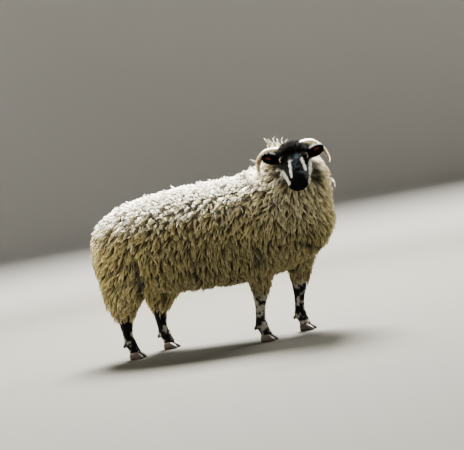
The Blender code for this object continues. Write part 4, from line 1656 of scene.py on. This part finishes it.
staple_paths = np.empty((staples, STATIONS, 3))
staple_sides = np.empty((staples, STATIONS, 3))
staple_rises = np.empty((staples, STATIONS, 3))
staple_paths[:, 0] = staple_roots
here, rise = outer_spots, outer_normals
for station in range(STATIONS):
    way = lie_of(here, rise)
    side = np.cross(rise, way)
    way = way * np.cos(swing)[:, None] + side * np.sin(swing)[:, None]
    staple_sides[:, station] = np.cross(rise, way)
    staple_rises[:, station] = rise
    if station == STATIONS - 1:
        break
    share = (station + 1) / (STATIONS - 1)
    here, rise = nearest_outer(here + way * (lay / (STATIONS - 1))[:, None])
    height = -depth * (1 - share) ** 1.7 + stand * share**2
    staple_paths[:, station + 1] = here + rise * height[:, None]
    staple_paths[:, station + 1, 2] -= SAG * share**2 * (1 - top)
staple_lengths = np.linalg.norm(np.diff(staple_paths, axis=1), axis=2).sum(axis=1)
print("longest staple", round(float(staple_lengths.max()), 3))

# %% Sink the staples in the partings
DEEPEST_SINK = 0.026

sunk = sunk_share(staple_paths.reshape(-1, 3), staple_rises.reshape(-1, 3)).reshape(staples, STATIONS)
above_skin = smoothstep(0.0, 0.5, np.linspace(0, 1, STATIONS))
sink = np.minimum(DEEPEST_SINK, (0.6 - 0.2 * ruff) * depth)[:, None] * sunk * above_skin
staple_paths -= staple_rises * sink[:, :, None]
print("staples in partings and hollows", int((sunk[:, -1] > 0.5).sum()))

# %% [markdown]
# ## Locks of wool
#
# Between the staples thousands of single locks are rooted, and each follows the nearest staple, closing in
# on it towards the tip. Locks of one staple share their waves, as real ones do, and over a third of them
# hang looser. Waves drawn lock by lock would look like fur, and staples without waves like straw.

# %% Roots of the locks
topside = smoothstep(0.3, 0.8, skin_face_normals[:, 2]) * (middles[:, 2] > 0.45)
roots, _ = scattered(LOCKS, wool_weights * (0.85 + 0.45 * topside + 0.80 * near_face(middles)))
finder = KDTree(staples)
for index, root in enumerate(staple_roots):
    finder.insert(root, index)
finder.balance()
owner = np.array([finder.find(root)[1] for root in roots])
order = np.argsort(-roots[:, 0], kind="stable")
roots, owner = roots[order], owner[order]
print("locks to a staple", round(LOCKS / staples, 1))

# %% Waves of the locks
LOOSE_SHARE = 0.38
WAVE = 0.0031
LOCK_WIDTHS = (0.0020, 0.0029)

share = np.linspace(0.0, 1.0, STATIONS)[None, :]
offset = roots - staple_roots[owner]
loose = rng.random(LOCKS) < LOOSE_SHARE
gather = 1.0 - np.where(loose, 0.12, 0.66)[:, None] * share**0.8
paths = staple_paths[owner] + offset[:, None] * gather[:, :, None]
wave_size = (WAVE + 0.0004 * shoulder_high[owner]) * rng.uniform(0.6, 1.25, LOCKS)
turns = rng.uniform(1.4, 2.0, staples)[owner] + rng.normal(0, 0.06, LOCKS)
phase = rng.uniform(0, 1, staples)[owner] + rng.normal(0, 0.07, LOCKS) + loose * rng.random(LOCKS)
angle = 2 * np.pi * (turns[:, None] * share + phase[:, None])
sway = np.sin(angle) * share**0.6
lift = np.cos(angle) * share * 0.45
curl = (rng.normal(0, 0.0060, staples) * (1 + 0.8 * top))[owner]
sideways = wave_size[:, None] * sway + curl[:, None] * share**3
upwards = wave_size[:, None] * lift + rng.normal(0, 0.0011, LOCKS)[:, None] * share
paths += staple_sides[owner] * sideways[:, :, None] + staple_rises[owner] * upwards[:, :, None]
reach = rng.uniform(0.86, 1.06, LOCKS) - 0.14 * loose
paths[:, 1:] = paths[:, :1] + (paths[:, 1:] - paths[:, :1]) * reach[:, None, None]
widths = rng.uniform(*LOCK_WIDTHS, LOCKS) * (1.0 + 0.15 * top[owner]) * (1 - 0.2 * low_leg[owner])
print("loose locks", int(loose.sum()))

# %% [markdown]
# ## Colour of the wool
#
# Wool is brown with grease at its root, and darker there still with painted shade of the deep coat; it
# is bleached at its tip. The white back against the duller flank and chest is painted light and painted
# shade, and the thigh is paler with painted light. Every lock also differs a little from its neighbours,
# and those in the partings get painted shade, because little light comes down there.

# %% How dark each lock is
FLANK_PAINTED_SHADE = 0.30
THIGH_PAINTED_LIGHT = 0.30
PARTING_PAINTED_SHADE = 0.84

tone = rng.normal(0.98, 0.14, staples)[owner] * rng.normal(1.0, 0.17, LOCKS)
tone = np.clip(tone, 0.48, 1.35)
# Painted shade darkens the flank and chest, and painted light brightens the thigh.
painted_flank_shade = smoothstep(-0.26, -0.12, roots[:, 0]) * smoothstep(0.61, 0.42, roots[:, 2])
painted_flank_shade = painted_flank_shade * smoothstep(0.52, 0.44, roots[:, 0])
tone *= 1.0 - FLANK_PAINTED_SHADE * painted_flank_shade
thigh = smoothstep(-0.26, -0.36, roots[:, 0]) * smoothstep(0.56, 0.46, roots[:, 2])
tone *= 1.0 + THIGH_PAINTED_LIGHT * thigh
# Painted shade: locks in the partings and in the hollows of the ruff are darkened.
shade = sunk_share(paths.reshape(-1, 3), staple_rises[owner].reshape(-1, 3)).reshape(LOCKS, STATIONS)
tone = (tone[:, None] * (1.0 - PARTING_PAINTED_SHADE * shade))[:, :, None]
print("tones", round(float(tone.min()), 2), "to", round(float(tone.max()), 2))

# %% Colour along each lock
# The dark root and middle are partly grease and partly painted shade of the deep coat.
WOOL_ROOT = np.array((0.050, 0.035, 0.013))
WOOL_MIDDLE = np.array((0.165, 0.127, 0.041))
WOOL_TIP = np.array((0.65, 0.56, 0.240))
WOOL_BACK = np.array((0.95, 0.925, 0.83))
WOOL_STAIN = np.array((0.50, 0.38, 0.22))

# Painted light and shade: locks facing up are whitened towards WOOL_BACK, roots and all.
painted_top_light = upper[owner][:, None]
tip_colour = mix(WOOL_TIP, WOOL_BACK, np.clip(painted_top_light + 0.3 * ruff[owner][:, None], 0, 1))
dirty = np.clip(0.75 * low_leg[owner] + 0.5 * (cloud(roots, 0.11, 51) - 0.35), 0, 0.8)
tip_colour = mix(tip_colour, WOOL_STAIN, dirty[:, None] * 0.55)
middle_colour = mix(np.broadcast_to(WOOL_MIDDLE, tip_colour.shape), tip_colour, 0.25 + 0.60 * painted_top_light)
root_colour = mix(WOOL_ROOT, WOOL_BACK, 0.5 * painted_top_light)
tints = mix(root_colour[:, None], middle_colour[:, None], smoothstep(0.16, 0.58, share[..., None]))
tints = mix(tints, tip_colour[:, None], smoothstep(0.52, 0.97, share[..., None])) * tone
print("mean tip colour", tip_colour.mean(axis=0).round(2))

# %% [markdown]
# ## Stray wisps
#
# A few wisps stand clear of the fleece: a tuft behind the poll, one beside her right ear and a loose lock
# that curls off the ruff. Chance wouldn't put them there, so each is a short route listed here, measured
# from between the eyes, with a few thin strands along it.

# %% Stray wisps
STRAY_ROUTES = (  # forward, across, up from between the eyes, on the level
    ((-0.095, -0.072, 0.045), (-0.092, -0.078, 0.070), (-0.086, -0.094, 0.088), (-0.084, -0.101, 0.104)),
    ((-0.095, -0.062, 0.045), (-0.090, -0.068, 0.072), (-0.086, -0.084, 0.088), (-0.080, -0.088, 0.098)),
    ((-0.095, -0.056, 0.045), (-0.090, -0.058, 0.072), (-0.084, -0.068, 0.088), (-0.080, -0.062, 0.099)),
    ((-0.095, -0.046, 0.045), (-0.088, -0.046, 0.070), (-0.082, -0.052, 0.084), (-0.076, -0.046, 0.093)),
    ((-0.095, -0.036, 0.045), (-0.086, -0.032, 0.070), (-0.080, -0.036, 0.083), (-0.074, -0.024, 0.095)),
    ((-0.095, -0.028, 0.045), (-0.086, -0.022, 0.068), (-0.078, -0.016, 0.078), (-0.072, -0.006, 0.080)),
    ((-0.100, -0.066, 0.040), (-0.098, -0.072, 0.060), (-0.092, -0.074, 0.074), (-0.086, -0.066, 0.083)),
    ((-0.100, -0.054, 0.040), (-0.096, -0.052, 0.060), (-0.088, -0.046, 0.074), (-0.082, -0.052, 0.086)),
    ((-0.100, -0.078, 0.038), (-0.100, -0.086, 0.056), (-0.094, -0.094, 0.068), (-0.090, -0.090, 0.076)),
    ((-0.120, -0.135, 0.000), (-0.116, -0.148, 0.016), (-0.108, -0.160, 0.022), (-0.102, -0.176, 0.029)),
    ((-0.120, -0.130, -0.006), (-0.114, -0.146, 0.008), (-0.106, -0.158, 0.014), (-0.102, -0.170, 0.018)),
    ((-0.130, 0.118, -0.094), (-0.126, 0.136, -0.104), (-0.120, 0.150, -0.126), (-0.118, 0.142, -0.156)),
)
STRANDS = 5
STRAND_WIDTHS = (0.0011, 0.0016)
STRAND_SPREAD = 0.0016

for route in STRAY_ROUTES:
    line = moved(HEAD_LEVEL, catmull(route, 2)[:STATIONS])
    line[1:-1] = line[1:-1] * 0.5 + (line[:-2] + line[2:]) * 0.25
    jitter = rng.normal(0, STRAND_SPREAD, (STRANDS, 1, 3)) * (1.15 - share[..., None])
    wag = rng.normal(0, STRAND_SPREAD, (STRANDS, STATIONS, 3)) * share[..., None]
    paths = np.concatenate([paths, line[None] + jitter + wag])
    owner = np.concatenate([owner, np.full(STRANDS, staples - 1)])
    near_root = np.array(skin_tree.find_nearest(Vector(line[0]))[0])
    roots = np.concatenate([roots, np.tile(near_root, (STRANDS, 1))])
    widths = np.concatenate([widths, rng.uniform(*STRAND_WIDTHS, STRANDS)])
    tints = np.concatenate([tints, np.broadcast_to(WOOL_BACK, (STRANDS, STATIONS, 3)) * 0.95])
print(len(STRAY_ROUTES) * STRANDS, "stray strands laid by hand")

# %% Join the fleece
FLEECE_PIECES = 7
WOOL_PROFILE = (0.70, 1.0, 1.0, 0.92, 0.76, 0.48)

for number, block in enumerate(np.array_split(np.arange(len(paths)), FLEECE_PIECES), start=1):
    coat_triangles += locks_object(
        f"fleece_{number}",
        paths[block],
        widths[block],
        staple_rises[owner[block]],
        tints[block],
        roots[block],
        WOOL,
        WOOL_PROFILE,
    )
print("fleece", coat_triangles, "triangles")

# %% [markdown]
# ## Short hair
#
# The face, ears and lower legs have short hair that lies flat. Most of it is in the skin's bump, and small
# tufts lie over it where the hair breaks the outline: fuzz on the forehead between the horns, fringes on
# the ears, whiskery cheeks, and feathering behind the fetlocks. They take their colour from the markings.
# One set of functions says where the hair grows, how long it is and which way it lies, for any place.

# %% Regions of the head's hair
def head_regions(in_head):
    """1 on the forehead, the lower cheek and the jowl, from places in the head's axes."""
    x, y, z = in_head.T
    forehead = smoothstep(0.010, -0.020, x) * smoothstep(-0.012, 0.014, z)
    cheek = smoothstep(-0.006, -0.030, z) * smoothstep(0.110, 0.085, x)
    cheek = cheek * smoothstep(0.030, 0.038, np.abs(y))
    jowl = smoothstep(-0.085, -0.060, x) * smoothstep(0.004, -0.014, x)
    jowl *= smoothstep(0.034, 0.048, np.abs(y)) * smoothstep(-0.070, -0.050, z) * smoothstep(0.016, 0.0, z)
    return forehead, cheek, jowl


def head_lie(in_head, forehead, fringe):
    """Back over the face, up on the crown and hanging at the jaw, in the scene's axes."""
    y = in_head[:, 1]
    ones = np.ones(len(y))
    swept = np.stack([-ones, np.sign(y) * 0.35, -0.35 + 1.0 * forehead], axis=1)
    hanging = np.stack([-0.35 * ones, np.sign(y) * 1.0, -0.55 * ones], axis=1)
    crowned = np.stack([-0.6 * ones, y / 0.05, 0.6 * ones], axis=1)
    way = mix(mix(swept, crowned, forehead[:, None]), hanging, fringe[:, None])
    return way @ np.array(HEAD.to_3x3()).T


print("fuzz at the crown", head_regions(np.array([[-0.03, 0.0, 0.03]]))[0].round(2)[0])


# %% Places, lengths and lie of the short hair
def ear_rims(points, on_ear, way):
    """1 along the rims of the ears, and the way of the hair turned outwards there."""
    rim = np.zeros(len(points))
    for out in SIDES.values():
        spot = moved(ear_matrix(out).inverted(), points)
        mine = on_ear & (spot[:, 0] > -0.02) & (spot[:, 0] < 0.11) & (np.abs(spot[:, 1]) < 0.035)
        to_rim = np.abs(spot[:, 1]) / ear_half_width(spot[:, 0])
        rim = np.where(mine, smoothstep(0.65, 0.95, to_rim), rim)
        outwards = np.stack([np.ones(len(rim)), np.sign(spot[:, 1]) * 0.8, np.zeros(len(rim))], axis=1)
        way = np.where(mine[:, None], outwards @ np.array(ear_matrix(out).to_3x3()).T, way)
    return rim, way


def hair_places(points):
    """Weights, lengths and lean of the short hair, and which way it lies."""
    in_head = moved(HEAD.inverted(), points)
    x, y = in_head[:, 0], in_head[:, 1]
    on_head = touching(head_tree, points)
    on_ear = touching(ear_tree, points) & ~on_head
    on_leg = ~on_head & ~on_ear & below_hem(points, HAIR_ABOVE_HEM)
    forehead, cheek, jowl = [on_head * region for region in head_regions(in_head)]
    fringe = np.clip(cheek * 0.8 + jowl, 0.0, 1.0)
    down = np.tile(np.array((0.0, 0.0, -1.0)), (len(points), 1))
    way = np.where(on_head[:, None], head_lie(in_head, forehead, fringe), down)
    rim, way = ear_rims(points, on_ear, way)
    weight = on_head * (1.0 + 2.5 * forehead + 1.6 * fringe) + on_ear * (0.6 + 1.6 * rim) + on_leg * 0.55
    eye_gaps = [np.linalg.norm(in_head - eye_frame(out)[0], axis=1) for out in SIDES.values()]
    bare_lids = np.min(eye_gaps, axis=0) > EYE_RADIUS + 0.0030
    weight = weight * bare_lids * smoothstep(0.139, 0.132, x * on_head)
    on_cheek = np.where(y > 0, 0.0120, 0.0050) * cheek * (1 - jowl)
    length = on_head * (0.0062 + 0.0095 * forehead + on_cheek + 0.0125 * jowl)
    length = length + on_ear * (0.005 + 0.003 * rim)
    fetlock = smoothstep(0.055, 0.065, points[:, 2]) * smoothstep(0.095, 0.080, points[:, 2])
    length += on_leg * (0.0075 + 0.005 * on_leg * fetlock)
    length = length * (1.0 - 0.45 * on_head * smoothstep(0.05, 0.12, x))
    lean = 0.30 + 0.75 * forehead + 0.45 * fringe
    return weight, length, lean, way


hair_weights = hair_places(middles)[0] * (1.0 - 0.7 * wool_weights)
print("hairy skin", round(float((skin_areas * (hair_weights > 0.3)).sum()), 3), "m2")

# %% Roots of the tufts
TUFTS = 13000
FRINGE = 340  # pale hairs that hang along each side of the jaw
FRINGE_LENGTHS = (("left", 0.0175), ("right", 0.0060))

hair_roots, hair_normals = scattered(TUFTS - 2 * FRINGE, hair_weights)
_, lengths, leans, ways = hair_places(hair_roots)
hair_tints = short_hair_colour(hair_roots, hair_normals)
for side, fringe_length in FRINGE_LENGTHS:
    out = SIDES[side]
    along_jaw = rng.random((FRINGE, 1))
    line = mix(np.array((-0.010, out * 0.066, -0.034)), np.array((0.112, out * 0.046, -0.036)), along_jaw)
    line = moved(HEAD, line + rng.normal(0, 0.0035, (FRINGE, 3)))
    found = [skin_tree.find_nearest(point)[:2] for point in line]
    hair_roots = np.concatenate([hair_roots, [f[0] for f in found]])
    hair_normals = np.concatenate([hair_normals, [f[1] for f in found]])
    lengths = np.concatenate([lengths, np.full(FRINGE, fringe_length)])
    leans = np.concatenate([leans, np.full(FRINGE, 0.8)])
    fall = np.array(HEAD.to_3x3() @ Vector((-0.10, out * 1.0, -0.55)))
    ways = np.concatenate([ways, np.tile(fall, (FRINGE, 1))])
    hair_tints = np.concatenate([hair_tints, np.tile(JAW_GREY * 1.35, (FRINGE, 1))])
print(len(hair_roots), "tufts,", 2 * FRINGE, "of them in the fringes of the jaw")

# %% Paths of the tufts
HAIR_STATIONS = 4
HAIR_WIDTHS = (0.0006, 0.0010)
ROOT_SINK = 0.0004  # the roots start just under the skin

ways += (rng.random((TUFTS, 3)) - 0.5) * 0.9
ways = unit(ways - hair_normals * (ways * hair_normals).sum(axis=1, keepdims=True))
lengths = lengths * rng.uniform(0.7, 1.3, TUFTS)
share = np.linspace(0.0, 1.0, HAIR_STATIONS)[None, :, None]
rising = hair_normals[:, None] * (leans[:, None, None] * (share - 0.45 * share**2))
hair_paths = hair_roots[:, None] - hair_normals[:, None] * ROOT_SINK
hair_paths = hair_paths + lengths[:, None, None] * (ways[:, None] * share + rising)
hair_tints = hair_tints * rng.uniform(0.75, 1.35, (TUFTS, 1))
hair_tints = np.repeat(hair_tints[:, None], HAIR_STATIONS, axis=1) * mix(0.85, 1.25, share)
hair_widths = rng.uniform(*HAIR_WIDTHS, TUFTS)
hair_rises = np.repeat(hair_normals[:, None], HAIR_STATIONS, axis=1)
print("mean length of a tuft", round(float(lengths.mean()) * 1000, 1), "mm")

# %% Join the tufts
HAIR_PROFILE = (1.0, 0.9, 0.6)

low = hair_roots[:, 2] < 0.4
for name, block in (("head_tufts", np.flatnonzero(~low)), ("leg_tufts", np.flatnonzero(low))):
    coat_triangles += locks_object(
        name,
        hair_paths[block],
        hair_widths[block],
        hair_rises[block],
        hair_tints[block],
        hair_roots[block],
        TUFT_HAIR,
        HAIR_PROFILE,
    )
print("coat", coat_triangles, "triangles")

# %% [markdown]
# ## Floor and light
#
# She stands on a plain floor whose far rim curves up, so that no hard edge shows behind her. The floor's own
# colour is pale far off but dark near her, because light thrown up from a white floor would wash out the
# shaded flank. Under the lamps the near part still looks a pale grey.
# A strong warm lamp high behind her whitens the back and the horns, as low sun does, and a rim lamp edges
# the chest. A lamp on the side of her tail models the rump and thigh, and two weak ones, overhead and in
# front, keep the shadows open.

# %% Floor
FLOOR_NEAR = (0.048, 0.047, 0.041, 1.0)
FLOOR_FAR = (0.80, 0.79, 0.76, 1.0)
FLOOR_RADIUS = 12.0
CURVE_RADIUS = 4.0
RIM_HEIGHT = 6.5


def floor_material():
    """Darker round her feet, fading to pale from three to thirteen metres away."""
    material = bpy.data.materials.new("pale_floor")
    material.use_nodes = True
    nodes, links = material.node_tree.nodes, material.node_tree.links
    shader = nodes["Principled BSDF"]
    shader.inputs["Roughness"].default_value = 0.9
    shader.inputs["Specular IOR Level"].default_value = 0.1
    coordinates = nodes.new("ShaderNodeTexCoord")
    length = nodes.new("ShaderNodeVectorMath")
    length.operation = "LENGTH"
    fade = nodes.new("ShaderNodeMapRange")
    fade.interpolation_type = "SMOOTHSTEP"
    fade.inputs["From Min"].default_value = 3.0
    fade.inputs["From Max"].default_value = 13.0
    paler = nodes.new("ShaderNodeMix")
    paler.data_type = "RGBA"
    paler.inputs[6].default_value = FLOOR_NEAR
    paler.inputs[7].default_value = FLOOR_FAR
    links.new(coordinates.outputs["Object"], length.inputs[0])
    links.new(length.outputs["Value"], fade.inputs["Value"])
    links.new(fade.outputs["Result"], paler.inputs["Factor"])
    links.new(paler.outputs[2], shader.inputs["Base Color"])
    return material


bm = bmesh.new()
profile = [(0.0, 0.0), (FLOOR_RADIUS / 2, 0.0), (FLOOR_RADIUS, 0.0)]
for angle in np.radians(range(8, 91, 8)):
    out_by, up_by = CURVE_RADIUS * math.sin(angle), CURVE_RADIUS * (1.0 - math.cos(angle))
    profile.append((FLOOR_RADIUS + out_by, up_by))
profile.append((FLOOR_RADIUS + CURVE_RADIUS, RIM_HEIGHT))
verts = [bm.verts.new((x, 0.0, z)) for x, z in profile]
edges = [bm.edges.new(pair) for pair in zip(verts, verts[1:])]
about = {"cent": (0, 0, 0), "axis": (0, 0, 1), "angle": 2 * math.pi}
bmesh.ops.spin(bm, geom=verts + edges, steps=96, use_merge=True, **about)
bmesh.ops.remove_doubles(bm, verts=bm.verts, dist=0.0001)
floor = from_bmesh("floor", bm, floor_material())
if floor.data.polygons[0].normal.z < 0:
    floor.data.flip_normals()
print("floor", len(floor.data.polygons), "faces")

# %% Lamps
LAMP_AIM = Vector((0, 0, 0.4))

world = bpy.data.worlds.new("studio")
bpy.context.scene.world = world
world.use_nodes = True
world.node_tree.nodes["Background"].inputs["Color"].default_value = (0.97, 0.98, 1.0, 1.0)
world.node_tree.nodes["Background"].inputs["Strength"].default_value = 0.055


def lamp(name, azimuth, elevation, distance, size, power, colour):
    """A square soft lamp that faces her from a compass direction."""
    a, e = math.radians(azimuth), math.radians(elevation)
    way = Vector((math.sin(a) * math.cos(e), -math.cos(a) * math.cos(e), math.sin(e)))
    light = bpy.data.lights.new(name, "AREA")
    light.shape = "SQUARE"
    light.size = size
    light.energy = power
    light.color = colour
    obj = bpy.data.objects.new(name, light)
    bpy.context.scene.collection.objects.link(obj)
    turn = way.to_track_quat("Z", "Y").to_matrix().to_4x4()
    obj.matrix_world = Matrix.Translation(LAMP_AIM + way * distance) @ turn
    return obj


lamp("high_behind", 198.0, 58.0, 5.0, 2.2, 7800.0, (1.0, 0.965, 0.89))
lamp("overhead", 40.0, 80.0, 4.0, 1.2, 60.0, (1.0, 0.95, 0.82))
lamp("left_side", 280.0, 25.0, 5.0, 1.5, 330.0, (1.0, 0.94, 0.78))
lamp("rim", 140.0, 34.0, 5.5, 2.0, 820.0, (1.0, 0.97, 0.90))
lamp("front_fill", -10.0, 25.0, 6.0, 3.0, 16.0, (1.0, 0.93, 0.76))
print("lamps", [light.name for light in bpy.data.lights])
